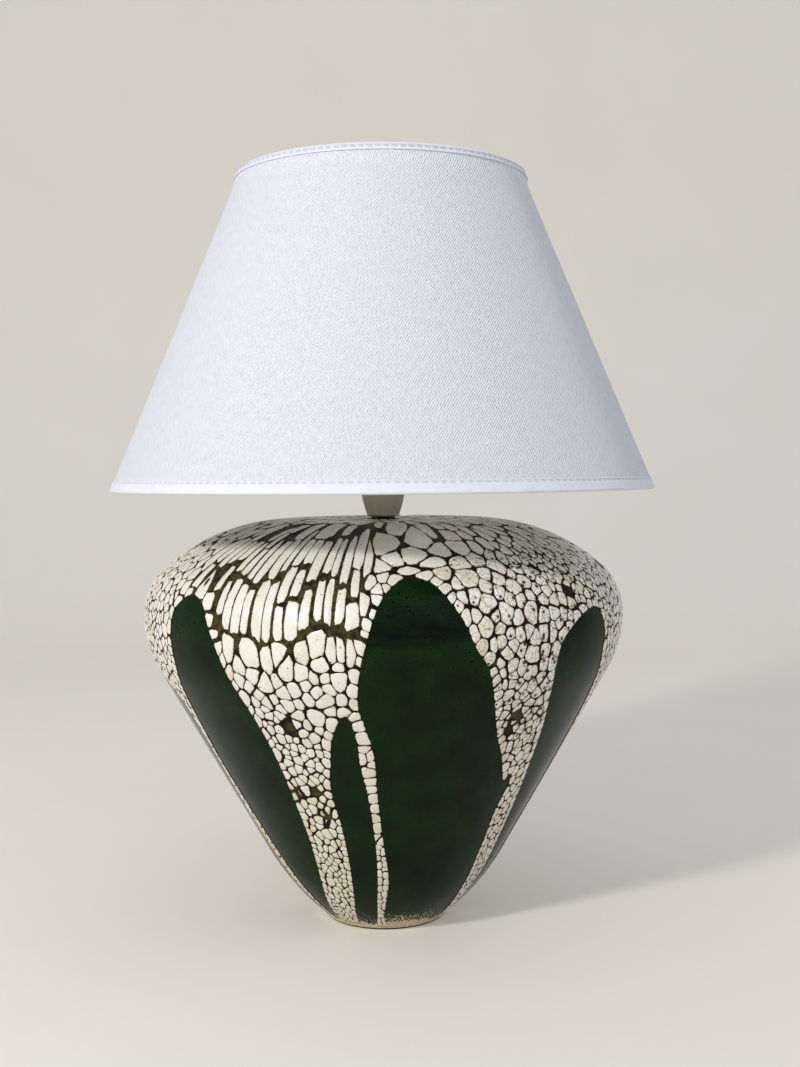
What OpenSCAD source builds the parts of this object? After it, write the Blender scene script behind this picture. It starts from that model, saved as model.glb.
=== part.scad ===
// Ceramic table lamp: a thrown stoneware vessel with a narrow foot and a broad domed shoulder,
// a screw lampholder clamped on top of it by a hollow rod, and a tapered fabric shade.
// Origin on the table under the middle of the foot, +Z up, back of the lamp towards +Y.

/* [Vessel] */
// Widest diameter of the vessel
body_d = 354; // [340:1:370]
// Level of the widest part above the table
belly_h = 229; // [220:1:236]
// Level of the dome's flat top above the table
body_top = 297; // [292:1:304]
// Wall of the vessel
wall_t = 7; // [5:0.5:9]
// Radius of the shoulder below the widest part
low_shoulder_r = 80; // [70:1:90]
// Radius of the shoulder above the widest part
high_shoulder_r = 46; // [42:1:50]
// Angle that the upper shoulder turns through before the dome takes over
shoulder_turn = 50; // [46:1:54]
// Diameter of the small sunk seat round the hole in the dome
seat_d = 24; // [22:1:30]
// Depth of that seat
seat_depth = 1.5; // [1:0.1:2]

/* [Foot] */
// Outside diameter of the foot ring
foot_d = 96; // [90:1:104]
// Radius of the curve that draws the flank in to the foot
foot_arc_r = 195; // [170:1:230]
// Angle from the vertical at which that curve leaves the foot ring, in degrees
foot_flare = 49; // [45:0.5:53]
// Bevel turned on the lower edge of the foot
foot_bevel = 1.5; // [1:0.1:2.5]
// Diameter of the recess under the foot
recess_d = 74; // [66:1:80]
// Depth of that recess
recess_h = 20; // [18:1:24]
// Thickness of the floor above the recess
floor_t = 9; // [7:0.5:12]
// Thickness of the felt disc under the foot
felt_t = 1.5; // [1:0.1:3]
// How far the felt disc stays inside the foot's bevel
felt_inset = 1; // [0.5:0.1:3]

/* [Cable inlet] */
// Height of the inlet above the table
inlet_h = 10; // [9.5:0.1:11]
// Diameter of the hole through the foot ring
inlet_hole_d = 10; // [9:0.1:10.5]
// Bore of the grommet
grommet_bore_d = 6.8; // [6:0.1:7.4]
// Diameter of the grommet's outer flange
grommet_flange_d = 12; // [11.5:0.1:12.5]
// Thickness of that flange
grommet_flange_t = 1.5; // [1:0.1:2.5]
// How far outside the foot ring's edge the pocket for the flange is cut
pocket_out = 1; // [0:0.1:1.4]
// Diameter of the pocket
pocket_d = 14; // [13.5:0.1:15]

/* [Rod and clamp] */
// Thread diameter of the hollow rod
rod_d = 10; // [9:0.1:10.4]
// Bore of the rod
rod_bore_d = 8; // [6.5:0.1:8.4]
// Hole for the rod in the dome and the floor
rod_hole_d = 11; // [10.8:0.1:13]
// Thickness of the rubber gasket under the floor
gasket_t = 2; // [1:0.1:3]
// Diameter of the rubber gasket
gasket_d = 44; // [36:1:52]
// Diameter of the steel clamp washer
clamp_washer_d = 40; // [32:1:48]
// Thickness of the clamp washer
clamp_washer_t = 2; // [1.5:0.1:3]
// Width across the flats of the lower nut
low_nut_af = 17; // [15:0.5:19]
// Height of the lower nut
low_nut_h = 4; // [3:0.1:5]
// Length of rod below the lower nut
rod_tail = 1.5; // [1:0.1:2.5]
// Diameter of the fibre washer on the dome
fibre_d = 20; // [18:0.5:21.5]
// Thickness of the fibre washer
fibre_t = 1; // [0.8:0.1:1.5]
// Width across the flats of the thin upper nut
top_nut_af = 15; // [14:0.5:16.5]
// Height of the thin upper nut
top_nut_h = 2.5; // [2:0.1:3.5]

/* [Lampholder cap] */
// Radius of the cap at its lower edge
cap_base_r = 12.2; // [11.5:0.1:13]
// Radius of the cap where the sleeve begins
cap_top_r = 17.5; // [17.2:0.1:19]
// Height of the cap
cap_h = 28; // [26:0.5:32]
// How far the cap's side bows out from a straight taper
cap_bow = 0.9; // [0:0.1:1.5]
// Rounding of the cap's lower edge
cap_edge_r = 1.8; // [1:0.1:2.2]
// Wall of the cap
cap_wall = 2; // [1.6:0.1:2.2]
// Radius of the cap's hollow just above the boss
cap_floor_r = 11.2; // [10:0.1:11.4]
// Height of the boss that screws onto the rod
boss_h = 9; // [7:0.5:11]
// Radial gap between screwed parts, whose threads are not cut here
thread_gap = 0.05; // [0.02:0.01:0.1]
// Diameter of the grub screw that locks the cap on the rod
grub_d = 3; // [2.5:0.1:4]
// Height of the grub screw above the cap's lower edge
grub_h = 5; // [4:0.1:6]

/* [Lampholder sleeve and core] */
// Outside radius of the sleeve, over its thread
sleeve_r = 19.8; // [19.5:0.1:20.1]
// Height of the sleeve above the cap
sleeve_h = 38; // [36:0.5:40]
// Radius of the sleeve's bore above the core
sleeve_bore_r = 17.3; // [17:0.1:17.6]
// Height of the sleeve's spigot inside the cap
spigot_h = 7; // [5:0.5:9]
// Wall of the spigot
spigot_wall = 1.6; // [1.2:0.1:1.8]
// Distance from the cap to the sleeve's flange
flange_up = 6; // [5:0.5:8]
// Radius of the flange that the shade's fitter rests on
flange_r = 25; // [24:0.5:26]
// Thickness of the flange
flange_t = 3; // [2:0.1:4]
// Lead bevel at the sleeve's mouth
mouth_bevel = 1; // [0.5:0.1:1.5]
// Height of the core's seat above the cap
core_seat_up = 4; // [3:0.5:5]
// Thickness of the core's flange
core_flange_t = 3; // [2.5:0.1:4]
// Height of the core's body below its flange
core_body_h = 15; // [13.5:0.5:16]
// Radial clearance of parts that drop into each other
drop_gap = 0.15; // [0.1:0.05:0.25]
// Inside radius of the screw shell
shell_r = 13.4; // [13.4:0.05:13.6]
// Sheet thickness of the screw shell
shell_t = 0.4; // [0.3:0.05:0.5]
// Height of the screw shell
shell_h = 23; // [20:0.5:25]
// Radius of the hole in the screw shell's floor
shell_hole_r = 7.5; // [7:0.1:8]

/* [Contacts and terminals] */
// Width of the contact strips
strip_w = 5; // [4:0.1:6]
// Thickness of the contact strips
strip_t = 0.6; // [0.5:0.05:0.8]
// Length of a strip's foot on the core's floor
strip_foot = 3; // [2.4:0.1:3.4]
// Height of the button on the spring contact above its strip
button_rise = 0.4; // [0.2:0.1:0.6]
// Clearance round a strip in its slot
slot_gap = 0.2; // [0.1:0.05:0.3]
// Distance of the strips from the middle of the core
strip_y = 9.6; // [9.4:0.1:9.8]
// Gap between the spring contact and the bulb's contact
contact_gap = 0.2; // [0.1:0.05:0.3]
// Rise of the spring contact above the core's floor
contact_rise = 1.8; // [1.5:0.1:2.5]
// Width, depth and height of a terminal block
terminal_size = [7, 5, 6]; // [4:0.5:8]
// Diameter of a terminal screw's shank
screw_d = 3; // [2.5:0.1:3.5]
// Diameter of its head
screw_head_d = 5.4; // [5:0.1:6]
// Height of its head
screw_head_h = 2; // [1.5:0.1:2.5]
// How far a terminal screw ends below the top of its block
screw_short = 1; // [0.5:0.1:2]
// Width of the driver's slot
driver_slot = 0.8; // [0.6:0.1:1]
// Depth of the driver's slot
slot_depth = 0.9; // [0.6:0.1:1.2]

/* [Shade ring] */
// Radius of the ring's flange
ring_flange_r = 28; // [27:0.5:30]
// Thickness of that flange
ring_flange_t = 2; // [1.5:0.1:3]
// Radius of the ring above its flange
ring_r = 24; // [23:0.5:25]
// Whole height of the ring
ring_h = 8; // [6:0.5:9]
// Gap that lets the ring and the fitter turn
turn_gap = 0.2; // [0.1:0.05:0.3]
// Number of finger notches in the ring's flange
notch_count = 18; // [12:1:24]
// Radius of a finger notch
notch_r = 1.6; // [1:0.1:2.2]

/* [Shade] */
// Diameter of the shade's lower edge
shade_bottom_d = 400; // [380:5:420]
// Diameter of the shade's upper edge
shade_top_d = 209; // [190:1:230]
// Height of the shade
shade_h = 230; // [215:5:250]
// Height of the fitter ring above the shade's lower edge
fitter_rise = 16; // [12:1:24]
// Radial thickness of the cloth cover
cover_t = 0.8; // [0.6:0.1:1.2]
// Radial thickness of the stiff lining
liner_t = 0.7; // [0.5:0.1:1]
// Thickness of the binding strips, measured level
binding_t = 0.6; // [0.5:0.1:0.9]
// Height of the lower binding outside the shade
low_binding_h = 7; // [5:0.5:10]
// Height of the upper binding outside the shade
top_binding_h = 5; // [4:0.5:8]
// How far the bindings' inner legs reach past their wires
binding_tuck = 1; // [0.5:0.1:2]
// Diameter of the wire in both edges
wire_d = 3; // [2.5:0.1:4]
// Free gap round each wire inside its binding
wire_gap = 0.1; // [0.05:0.05:0.2]

/* [Fitter] */
// Radius of the hole in the fitter ring
fitter_hole_r = 21; // [20.7:0.1:22]
// Outside radius of the fitter ring
fitter_r = 29.5; // [28.5:0.5:32]
// Thickness of the fitter ring
fitter_t = 1.5; // [1:0.1:2]
// Diameter of the three arm wires
arm_d = 3; // [2.5:0.1:4]
// Gap between the sleeve's flange and the arms' inner ends
arm_clear = 0.7; // [0.5:0.1:1.5]
// Gap between an arm and the fitter ring that it is welded to
ring_weld_gap = 0.05; // [0.05:0.05:0.2]
// Gap between an arm's outer end and the wire that it is welded to
weld_gap = 0.2; // [0.1:0.05:0.3]
// Clearance of an arm in its slit in the lower binding
slit_gap = 0.3; // [0.2:0.1:0.6]

/* [Bulb] */
// Largest radius of the bulb
globe_r = 30; // [27:0.5:32]
// Radius of the bulb's centre contact
contact_r = 4.8; // [4:0.1:5.5]
// Thickness of that contact
contact_t = 1.2; // [0.8:0.1:1.6]
// Height of the insulator's top above the contact's face
insulator_h = 6.2; // [5.5:0.1:7]
// Length of the bulb from its contact to the rim of its housing
housing_rim_h = 70; // [66:1:76]
// Radius of the bulb's screw cap over its thread
bulb_cap_r = 13.15; // [13:0.05:13.2]
// Height of that cap above the contact
bulb_cap_h = 25; // [23:0.5:27]
// Sheet thickness of that cap
bulb_cap_t = 0.4; // [0.3:0.05:0.5]
// How far the screw cap's floor turns in before its opening
bulb_cap_turn = 1; // [0.6:0.1:1.4]
// How far the cap's floor laps over the insulator
bulb_cap_lap = 1; // [0.5:0.1:1.5]
// How far the insulator stays inside the screw cap
insulator_inset = 1.6; // [1.2:0.1:2.2]
// Height of the insulator's straight upper edge
insulator_edge_h = 1; // [0.5:0.1:1.5]
// Wall of the globe and the housing
bulb_wall = 1.4; // [1:0.1:2]
// How far the housing stands out round the screw cap
housing_step = 0.6; // [0.3:0.1:1]
// Share of a straight taper in the housing's S-shaped flare
housing_taper = 0.35; // [0.2:0.05:0.5]
// Gap between the housing's neck and the screw cap's floor
neck_lift = 1.5; // [1:0.1:3]
// Angle below the globe's middle at which it meets the housing, in degrees
globe_skirt = 12; // [8:1:16]
// Thickness of the plate that carries the light sources
led_plate_t = 1.5; // [1:0.1:2]
// Number of light sources on the plate
led_count = 12; // [8:1:14]
// Side of one light source
led_side = 2.8; // [2:0.1:3.5]
// Height of one light source
led_h = 0.8; // [0.5:0.1:1.2]
// Radius of the circle on which the light sources stand
led_ring_r = 20; // [16:0.5:22]
// Free space beside and below the driver board
board_gap = 1.5; // [1:0.1:3]
// Thickness of the driver board
board_t = 1.6; // [1:0.1:2]
// Height of the parts on the board above its lower edge
board_parts_up = 24; // [18:1:28]
// Radius of the capacitor on the board
capacitor_r = 4.2; // [3:0.1:5]
// Height of the capacitor
capacitor_h = 12; // [8:0.5:16]
// Width, depth and height of the coil on the board
coil_size = [8, 6, 8]; // [4:0.5:10]

/* [Hidden] */
$fn = 96;
eps = 0.5;

// Levels of the foot and the clamp, from the table upwards
body_r = body_d / 2;
foot_r = foot_d / 2;
foot_z = felt_t + foot_bevel;
recess_top = felt_t + recess_h;
floor_top = recess_top + floor_t;
gasket_z = recess_top - gasket_t;
washer_z = gasket_z - clamp_washer_t;
low_nut_z = washer_z - low_nut_h;
rod_bottom = low_nut_z - rod_tail;
pocket_y = foot_r + pocket_out;

// Levels of the lampholder, from the dome upwards
seat_z = body_top - seat_depth;
upper_nut_z = seat_z + fibre_t;
cap_z = upper_nut_z + top_nut_h;
boss_top = cap_z + boss_h;
cap_top = cap_z + cap_h;
sleeve_top = cap_top + sleeve_h;
flange_z = cap_top + flange_up;
fitter_z = flange_z + flange_t + turn_gap;
ring_z = fitter_z + fitter_t + turn_gap;
core_seat_z = cap_top + core_seat_up;
core_top = core_seat_z + core_flange_t;
core_bottom = core_seat_z - core_body_h;
spigot_r = cap_top_r - cap_wall - drop_gap;
core_hole_r = spigot_r - spigot_wall;
core_r = core_hole_r - drop_gap;
shell_outer_r = shell_r + shell_t;
terminal_y = strip_y - strip_t / 2 - terminal_size[1] / 2;
bulb_z = core_top + contact_rise + contact_gap;

// Levels and slope of the shade
shade_z = fitter_z - fitter_rise;
shade_slope = (shade_bottom_d - shade_top_d) / 2 / shade_h;
shade_angle = atan(shade_slope);
wire_reach = (wire_d / 2 + wire_gap) / cos(shade_angle);
wire_inset = binding_t + cover_t + liner_t + wire_reach;
wire_up = binding_t + wire_gap + wire_d / 2;
binding_reach = wire_inset + wire_reach + binding_t;
inner_leg = 2 * wire_up + binding_tuck;
arm_start_r = flange_r + arm_clear;
arm_start_z = fitter_z - arm_d / 2 - ring_weld_gap;
arm_end_r = edge_r(0) - wire_inset - wire_up * shade_slope - wire_d / 2 - weld_gap;
arm_end_z = shade_z + wire_up;

// Levels and radii of the bulb, from its contact upwards
lip_z = bulb_z + insulator_h;
housing_seat = bulb_z + bulb_cap_h;
housing_rim = bulb_z + housing_rim_h;
globe_rim_r = globe_r * cos(globe_skirt);
globe_c = [0, housing_rim + globe_r * sin(globe_skirt)];
neck_r = bulb_cap_r - bulb_cap_t - drop_gap;
neck_bottom = lip_z + neck_lift;
insulator_r = bulb_cap_r - insulator_inset;
plate_r = housing_r(housing_rim - led_plate_t, bulb_wall) - drop_gap;
board_w = 2 * (neck_r - bulb_wall - board_gap);
board_bottom = neck_bottom + board_gap;
board_top = housing_rim - led_plate_t - drop_gap;

// The vessel's outline is one chain of tangent pieces: an arc out of the foot, a straight flank,
// two shoulder arcs that meet at the widest level, and a dome arc that ends level at the top.
// The flank is the common tangent of the foot's arc and the lower shoulder, which sets its angle.
low_c = [body_r - low_shoulder_r, belly_h];
high_c = [body_r - high_shoulder_r, belly_h];
dome_start = high_c + high_shoulder_r * [cos(shoulder_turn), sin(shoulder_turn)];
dome_r = (body_top - dome_start[1]) / (1 - sin(shoulder_turn));
dome_c = dome_start - dome_r * [cos(shoulder_turn), sin(shoulder_turn)];
foot_c = [foot_r, foot_z] - foot_arc_r * [cos(foot_flare), -sin(foot_flare)];
low_from_foot = low_c - foot_c;
flank_angle = acos((foot_arc_r - low_shoulder_r) / norm(low_from_foot))
    - atan2(low_from_foot[1], low_from_foot[0]);

// Points on an arc about c from angle a0 to a1, leaving out the first ones when from is over 0
function arc_points(c, r, a0, a1, n, from = 0) =
    [for (i = [from:n]) let (a = a0 + (a1 - a0) * i / n) c + r * [cos(a), sin(a)]];

// Points from p to q on a line that bows to its right by s
function bowed_points(p, q, s, n, from = 0) =
    let (d = q - p, side = [d[1], -d[0]] / norm(d))
    [for (i = [from:n]) let (t = i / n) p + d * t + side * 4 * s * t * (1 - t)];

// The vessel's wall line, w inside its outer face
function wall_line(w) = concat(
    arc_points(foot_c, foot_arc_r - w, -foot_flare, -flank_angle, 10),
    arc_points(low_c, low_shoulder_r - w, -flank_angle, 0, 10),
    arc_points(high_c, high_shoulder_r - w, 0, shoulder_turn, 12, 1),
    arc_points(dome_c, dome_r - w, shoulder_turn, 90, 12, 1));

function reversed(points) = [for (i = [len(points) - 1:-1:0]) points[i]];

// Radius of the bulb's housing at level z, w inside its face: it flares out of the screw cap on
// an S-shaped line and carries the globe at its rim
function housing_r(z, w) =
    let (t = (z - housing_seat) / (housing_rim - housing_seat), r0 = bulb_cap_r + housing_step)
    r0 - w + (globe_rim_r - r0) * (housing_taper * t + (1 - housing_taper) * (1 - cos(180 * t)) / 2);

function housing_line(w) =
    [for (i = [0:12]) let (z = housing_seat + (housing_rim - housing_seat) * i / 12)
        [housing_r(z, w), z]];

// Direction of arm k, of three that start at the back
function arm_turn(k) = 90 + 120 * k;

// Radius of the shade's outer face at a height above its lower edge
function edge_r(h) = shade_bottom_d / 2 - shade_slope * h;

// A point of the shade's section: x inwards from the outer face, h above the lower edge
function shade_point(x, h) = [edge_r(h) - x, shade_z + h];

module disc(d, h, z, hole_d) {
    translate([0, 0, z])
        difference() {
            cylinder(d = d, h = h);
            translate([0, 0, -eps]) cylinder(d = hole_d, h = h + 2 * eps);
        }
}

module hex_nut(af, h, z) {
    translate([0, 0, z])
        difference() {
            cylinder(d = af / cos(30), h = h, $fn = 6);
            translate([0, 0, -eps]) cylinder(d = rod_d + 2 * thread_gap, h = h + 2 * eps);
        }
}

// A cylinder that runs from p outwards along +Y
module bore_y(d, y, z, h) {
    translate([0, y, z]) rotate([-90, 0, 0]) cylinder(d = d, h = h);
}

// Vessel, foot and clamp

module ceramic_body() {
    inner = wall_line(wall_t);
    color("#cfc9b4")
        difference() {
            rotate_extrude()
                polygon(concat([[0, felt_t], [foot_r - foot_bevel, felt_t]], wall_line(0),
                    [[0, body_top]]));
            intersection() {
                rotate_extrude()
                    polygon(concat([[0, inner[0][1]]], inner, [[0, body_top - wall_t]]));
                translate([0, 0, floor_top]) cylinder(r = body_r, h = body_top);
            }
            translate([0, 0, felt_t - eps]) cylinder(d = recess_d, h = recess_h + eps);
            translate([0, 0, recess_top - eps]) cylinder(d = rod_hole_d, h = body_top);
            translate([0, 0, seat_z]) cylinder(d = seat_d, h = seat_depth + eps);
            bore_y(inlet_hole_d, 0, inlet_h, body_r);
            bore_y(pocket_d, pocket_y, inlet_h, foot_r);
        }
}

module felt_pad() {
    color("#3b3f38")
        cylinder(r = foot_r - foot_bevel - felt_inset, h = felt_t);
}

module lower_gasket() {
    color("#222222") disc(gasket_d, gasket_t, gasket_z, rod_hole_d);
}

module clamp_washer() {
    color("#b9bcc0") disc(clamp_washer_d, clamp_washer_t, washer_z, rod_hole_d);
}

module lower_nut() {
    color("#c8a951") hex_nut(low_nut_af, low_nut_h, low_nut_z);
}

module threaded_rod() {
    color("#b8bbc0") disc(rod_d, boss_top - rod_bottom, rod_bottom, rod_bore_d);
}

module fibre_washer() {
    color("#3a2f2a") disc(fibre_d, fibre_t, seat_z, rod_hole_d);
}

module upper_nut() {
    color("#c8a951") hex_nut(top_nut_af, top_nut_h, upper_nut_z);
}

module cable_grommet() {
    neck_d = inlet_hole_d - 2 * drop_gap;
    length = pocket_y - recess_d / 2;
    bore_h = length + grommet_flange_t + 2 * eps;
    color("#1f1f1f")
        difference() {
            union() {
                bore_y(neck_d, pocket_y - length, inlet_h, length);
                bore_y(grommet_flange_d, pocket_y, inlet_h, grommet_flange_t);
            }
            bore_y(grommet_bore_d, pocket_y - length - eps, inlet_h, bore_h);
        }
}

// Lampholder

module holder_cap() {
    side_start = [cap_base_r, cap_z + cap_edge_r];
    inner_r = cap_top_r - cap_wall;
    color("#8d8778")
        difference() {
            rotate_extrude()
                polygon(concat([[0, cap_z]],
                    arc_points([cap_base_r - cap_edge_r, cap_z + cap_edge_r], cap_edge_r, -90, 0, 5),
                    bowed_points(side_start, [cap_top_r, cap_top], cap_bow, 10, 1), [[0, cap_top]]));
            rotate_extrude()
                polygon([[0, boss_top], [cap_floor_r, boss_top], [inner_r, cap_top - spigot_h],
                    [inner_r, cap_top + eps], [0, cap_top + eps]]);
            translate([0, 0, cap_z - eps]) cylinder(d = rod_d + 2 * thread_gap, h = cap_h);
            bore_y(grub_d + 2 * thread_gap, 0, cap_z + grub_h, cap_top_r + eps);
        }
}

module cap_grub_screw() {
    start = rod_d / 2 + 2 * thread_gap;
    length = cap_base_r - start;
    color("#9a9da1")
        difference() {
            bore_y(grub_d, start, cap_z + grub_h, length);
            translate([-driver_slot / 2, cap_base_r - slot_depth, cap_z + grub_h - grub_d])
                cube([driver_slot, slot_depth + eps, 2 * grub_d]);
        }
}

module holder_sleeve() {
    color("#8d8778")
        rotate_extrude()
            polygon([
                [core_hole_r, cap_top - spigot_h],
                [spigot_r, cap_top - spigot_h],
                [spigot_r, cap_top],
                [sleeve_r, cap_top],
                [sleeve_r, flange_z],
                [flange_r, flange_z],
                [flange_r, flange_z + flange_t],
                [sleeve_r, flange_z + flange_t],
                [sleeve_r, sleeve_top - mouth_bevel],
                [sleeve_r - mouth_bevel, sleeve_top],
                [sleeve_bore_r, sleeve_top],
                [sleeve_bore_r, core_seat_z],
                [core_hole_r, core_seat_z]]);
}

module strip_slot(y) {
    w = strip_w + 2 * slot_gap;
    t = strip_t + 2 * slot_gap;
    translate([-w / 2, y - t / 2, core_bottom - eps]) cube([w, t, core_top - core_bottom + 2 * eps]);
}

module terminal_pocket(y) {
    w = terminal_size[0] + 2 * slot_gap;
    d = terminal_size[1] + 2 * slot_gap;
    translate([-w / 2, y - d / 2, core_bottom - eps])
        cube([w, d, terminal_size[2] + slot_gap + eps]);
}

module holder_core() {
    flange = sleeve_bore_r - drop_gap;
    color("#e4e0d6")
        difference() {
            rotate_extrude()
                polygon([[0, core_bottom], [core_r, core_bottom], [core_r, core_seat_z],
                    [flange, core_seat_z], [flange, core_top], [0, core_top]]);
            for (side = [-1, 1]) {
                strip_slot(side * strip_y);
                terminal_pocket(side * terminal_y);
            }
        }
}

module screw_shell() {
    color("#c9ad62")
        difference() {
            translate([0, 0, core_top + strip_t])
                rotate_extrude()
                    polygon([[shell_hole_r, 0], [shell_outer_r, 0], [shell_outer_r, shell_h],
                        [shell_r, shell_h], [shell_r, shell_t], [shell_hole_r, shell_t]]);
            translate([-strip_w / 2 - slot_gap, -strip_y - strip_t - slot_gap, core_top])
                cube([strip_w + 2 * slot_gap, strip_y, strip_t + shell_t + slot_gap]);
        }
}

// A strip that stands in its slot, with its foot beside the terminal block
module strip_tail(y) {
    top = core_top + strip_t;
    translate([-strip_w / 2, y - strip_t / 2, core_bottom]) cube([strip_w, strip_t, top - core_bottom]);
}

// The spring strip bends over at the core's floor and slopes up to a round button in the middle
module centre_contact() {
    bend_y = -strip_y + strip_foot - strip_t;
    button_h = strip_t + button_rise;
    slope = atan((contact_rise - button_h) / -bend_y);
    color("#c77f4a")
        union() {
            strip_tail(-strip_y);
            translate([-strip_w / 2, -strip_y, core_top]) cube([strip_w, strip_foot, strip_t]);
            translate([-strip_w / 2, bend_y, core_top])
                rotate([slope, 0, 0]) cube([strip_w, -bend_y, strip_t]);
            translate([0, 0, core_top + contact_rise - button_h])
                cylinder(d = strip_w, h = button_h);
        }
}

module side_contact() {
    color("#c77f4a")
        union() {
            strip_tail(strip_y);
            translate([-strip_w / 2, strip_y - strip_foot / 2, core_top])
                cube([strip_w, strip_foot, strip_t]);
        }
}

module terminal_blocks() {
    color("#c8a951")
        for (side = [-1, 1])
            translate([0, side * terminal_y, core_bottom])
                difference() {
                    translate([-terminal_size[0] / 2, -terminal_size[1] / 2, 0]) cube(terminal_size);
                    translate([0, 0, -eps])
                        cylinder(d = screw_d + 2 * thread_gap, h = terminal_size[2] + 2 * eps);
                }
}

module terminal_screws() {
    color("#b9bcc0")
        for (side = [-1, 1])
            translate([0, side * terminal_y, core_bottom])
                difference() {
                    union() {
                        translate([0, 0, -screw_head_h]) cylinder(d = screw_head_d, h = screw_head_h);
                        cylinder(d = screw_d, h = terminal_size[2] - screw_short);
                    }
                    translate([-screw_head_d, -driver_slot / 2, -screw_head_h - eps])
                        cube([2 * screw_head_d, driver_slot, slot_depth + eps]);
                }
}

// Ring that holds the shade down

module shade_ring() {
    color("#8d8778")
        difference() {
            translate([0, 0, ring_z])
                union() {
                    cylinder(r = ring_flange_r, h = ring_flange_t);
                    cylinder(r = ring_r, h = ring_h);
                }
            translate([0, 0, ring_z - eps])
                cylinder(r = sleeve_r + turn_gap, h = ring_h + 2 * eps);
            for (i = [0:notch_count - 1])
                rotate([0, 0, 360 * i / notch_count])
                    translate([ring_flange_r + notch_r / 2, 0, ring_z - eps])
                        cylinder(r = notch_r, h = ring_flange_t + 2 * eps, $fn = 24);
        }
}

// Shade and its frame

module fitter_ring() {
    color("#f0efe9") disc(2 * fitter_r, fitter_t, fitter_z, 2 * fitter_hole_r);
}

module fitter_arm(k) {
    run = arm_end_r - arm_start_r;
    drop = arm_start_z - arm_end_z;
    color("#f0efe9")
        rotate([0, 0, arm_turn(k)])
            translate([arm_start_r, 0, arm_start_z])
                rotate([0, 90 + atan(drop / run), 0])
                    cylinder(d = arm_d, h = norm([run, drop]));
}

module edge_wire(x, h) {
    color("#f0efe9")
        rotate_extrude() translate(shade_point(x, h)) circle(d = wire_d, $fn = 32);
}

// One layer of the shade's wall, from x_out to x_in inside its outer face
module shade_layer(x_out, x_in) {
    low = binding_t;
    high = shade_h - binding_t;
    rotate_extrude()
        polygon([shade_point(x_out, low), shade_point(x_out, high), shade_point(x_in, high),
            shade_point(x_in, low)]);
}

// A strip folded round an edge: outer leg, turn and inner leg, with up as +1 or -1 from the edge
module binding(edge, up, outer_leg) {
    rotate_extrude()
        polygon([
            shade_point(0, edge),
            shade_point(0, edge + up * outer_leg),
            shade_point(binding_t, edge + up * outer_leg),
            shade_point(binding_t, edge + up * binding_t),
            shade_point(binding_reach - binding_t, edge + up * binding_t),
            shade_point(binding_reach - binding_t, edge + up * inner_leg),
            shade_point(binding_reach, edge + up * inner_leg),
            shade_point(binding_reach, edge)]);
}

module lower_wire() {
    edge_wire(wire_inset, wire_up);
}

module upper_wire() {
    edge_wire(wire_inset, shade_h - wire_up);
}

module shade_liner() {
    color("#f6f5f1") shade_layer(binding_t + cover_t, binding_t + cover_t + liner_t);
}

module shade_cover() {
    color("#f4f4f6") shade_layer(binding_t, binding_t + cover_t);
}

// The lower binding is slit on its inner side where each arm goes through to the wire
module lower_binding() {
    slit_w = arm_d + 2 * slit_gap;
    slit_out = arm_end_r + weld_gap + binding_t;
    color("#fafafa")
        difference() {
            binding(0, 1, low_binding_h);
            for (k = [0:2])
                rotate([0, 0, arm_turn(k)])
                    translate([slit_out - binding_reach, -slit_w / 2, shade_z + binding_t])
                        cube([binding_reach, slit_w, inner_leg + eps]);
        }
}

module upper_binding() {
    color("#fafafa") binding(shade_h, -1, top_binding_h);
}

// Bulb

module bulb_contact() {
    color("#c9ccd0")
        rotate_extrude()
            polygon([[0, bulb_z], [contact_r - contact_t / 2, bulb_z],
                [contact_r, bulb_z + contact_t / 2], [contact_r, bulb_z + contact_t],
                [0, bulb_z + contact_t]]);
}

module bulb_insulator() {
    color("#202020")
        rotate_extrude()
            polygon([[0, bulb_z + contact_t], [contact_r + contact_t / 2, bulb_z + contact_t],
                [insulator_r, lip_z - insulator_edge_h], [insulator_r, lip_z], [0, lip_z]]);
}

module bulb_screw_cap() {
    lip_r = insulator_r - bulb_cap_lap;
    turn = bulb_cap_turn;
    color("#c9ccd0")
        rotate_extrude()
            polygon([
                [lip_r, lip_z],
                [bulb_cap_r - turn, lip_z],
                [bulb_cap_r, lip_z + turn],
                [bulb_cap_r, housing_seat],
                [bulb_cap_r - bulb_cap_t, housing_seat],
                [bulb_cap_r - bulb_cap_t, lip_z + turn],
                [bulb_cap_r - turn, lip_z + bulb_cap_t],
                [lip_r, lip_z + bulb_cap_t]]);
}

module bulb_housing() {
    color("#f3f2ee")
        rotate_extrude()
            polygon(concat(
                [[neck_r - bulb_wall, neck_bottom], [neck_r, neck_bottom], [neck_r, housing_seat]],
                housing_line(0),
                reversed(housing_line(bulb_wall)),
                [[neck_r - bulb_wall, housing_seat - bulb_wall]]));
}

module led_plate() {
    color("#d5d8da")
        union() {
            translate([0, 0, housing_rim - led_plate_t]) cylinder(r = plate_r, h = led_plate_t);
            for (i = [0:led_count - 1])
                rotate([0, 0, 360 * i / led_count])
                    translate([led_ring_r - led_side / 2, -led_side / 2, housing_rim])
                        cube([led_side, led_side, led_h]);
        }
}

// The board stands in the neck, with a capacitor on one face and a coil on the other
module driver_board() {
    parts_z = board_bottom + board_parts_up;
    color("#3f7a4a")
        union() {
            translate([-board_w / 2, -board_t / 2, board_bottom])
                cube([board_w, board_t, board_top - board_bottom]);
            translate([0, capacitor_r, parts_z]) cylinder(r = capacitor_r, h = capacitor_h);
            translate([-coil_size[0] / 2, -coil_size[1], parts_z]) cube(coil_size);
        }
}

module bulb_globe() {
    inner_r = globe_r - bulb_wall;
    color("#f7f6f2")
        rotate_extrude()
            polygon(concat(
                arc_points(globe_c, globe_r, -globe_skirt, 90, 16),
                reversed(arc_points(globe_c, inner_r, -globe_skirt, 90, 16))));
}

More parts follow.
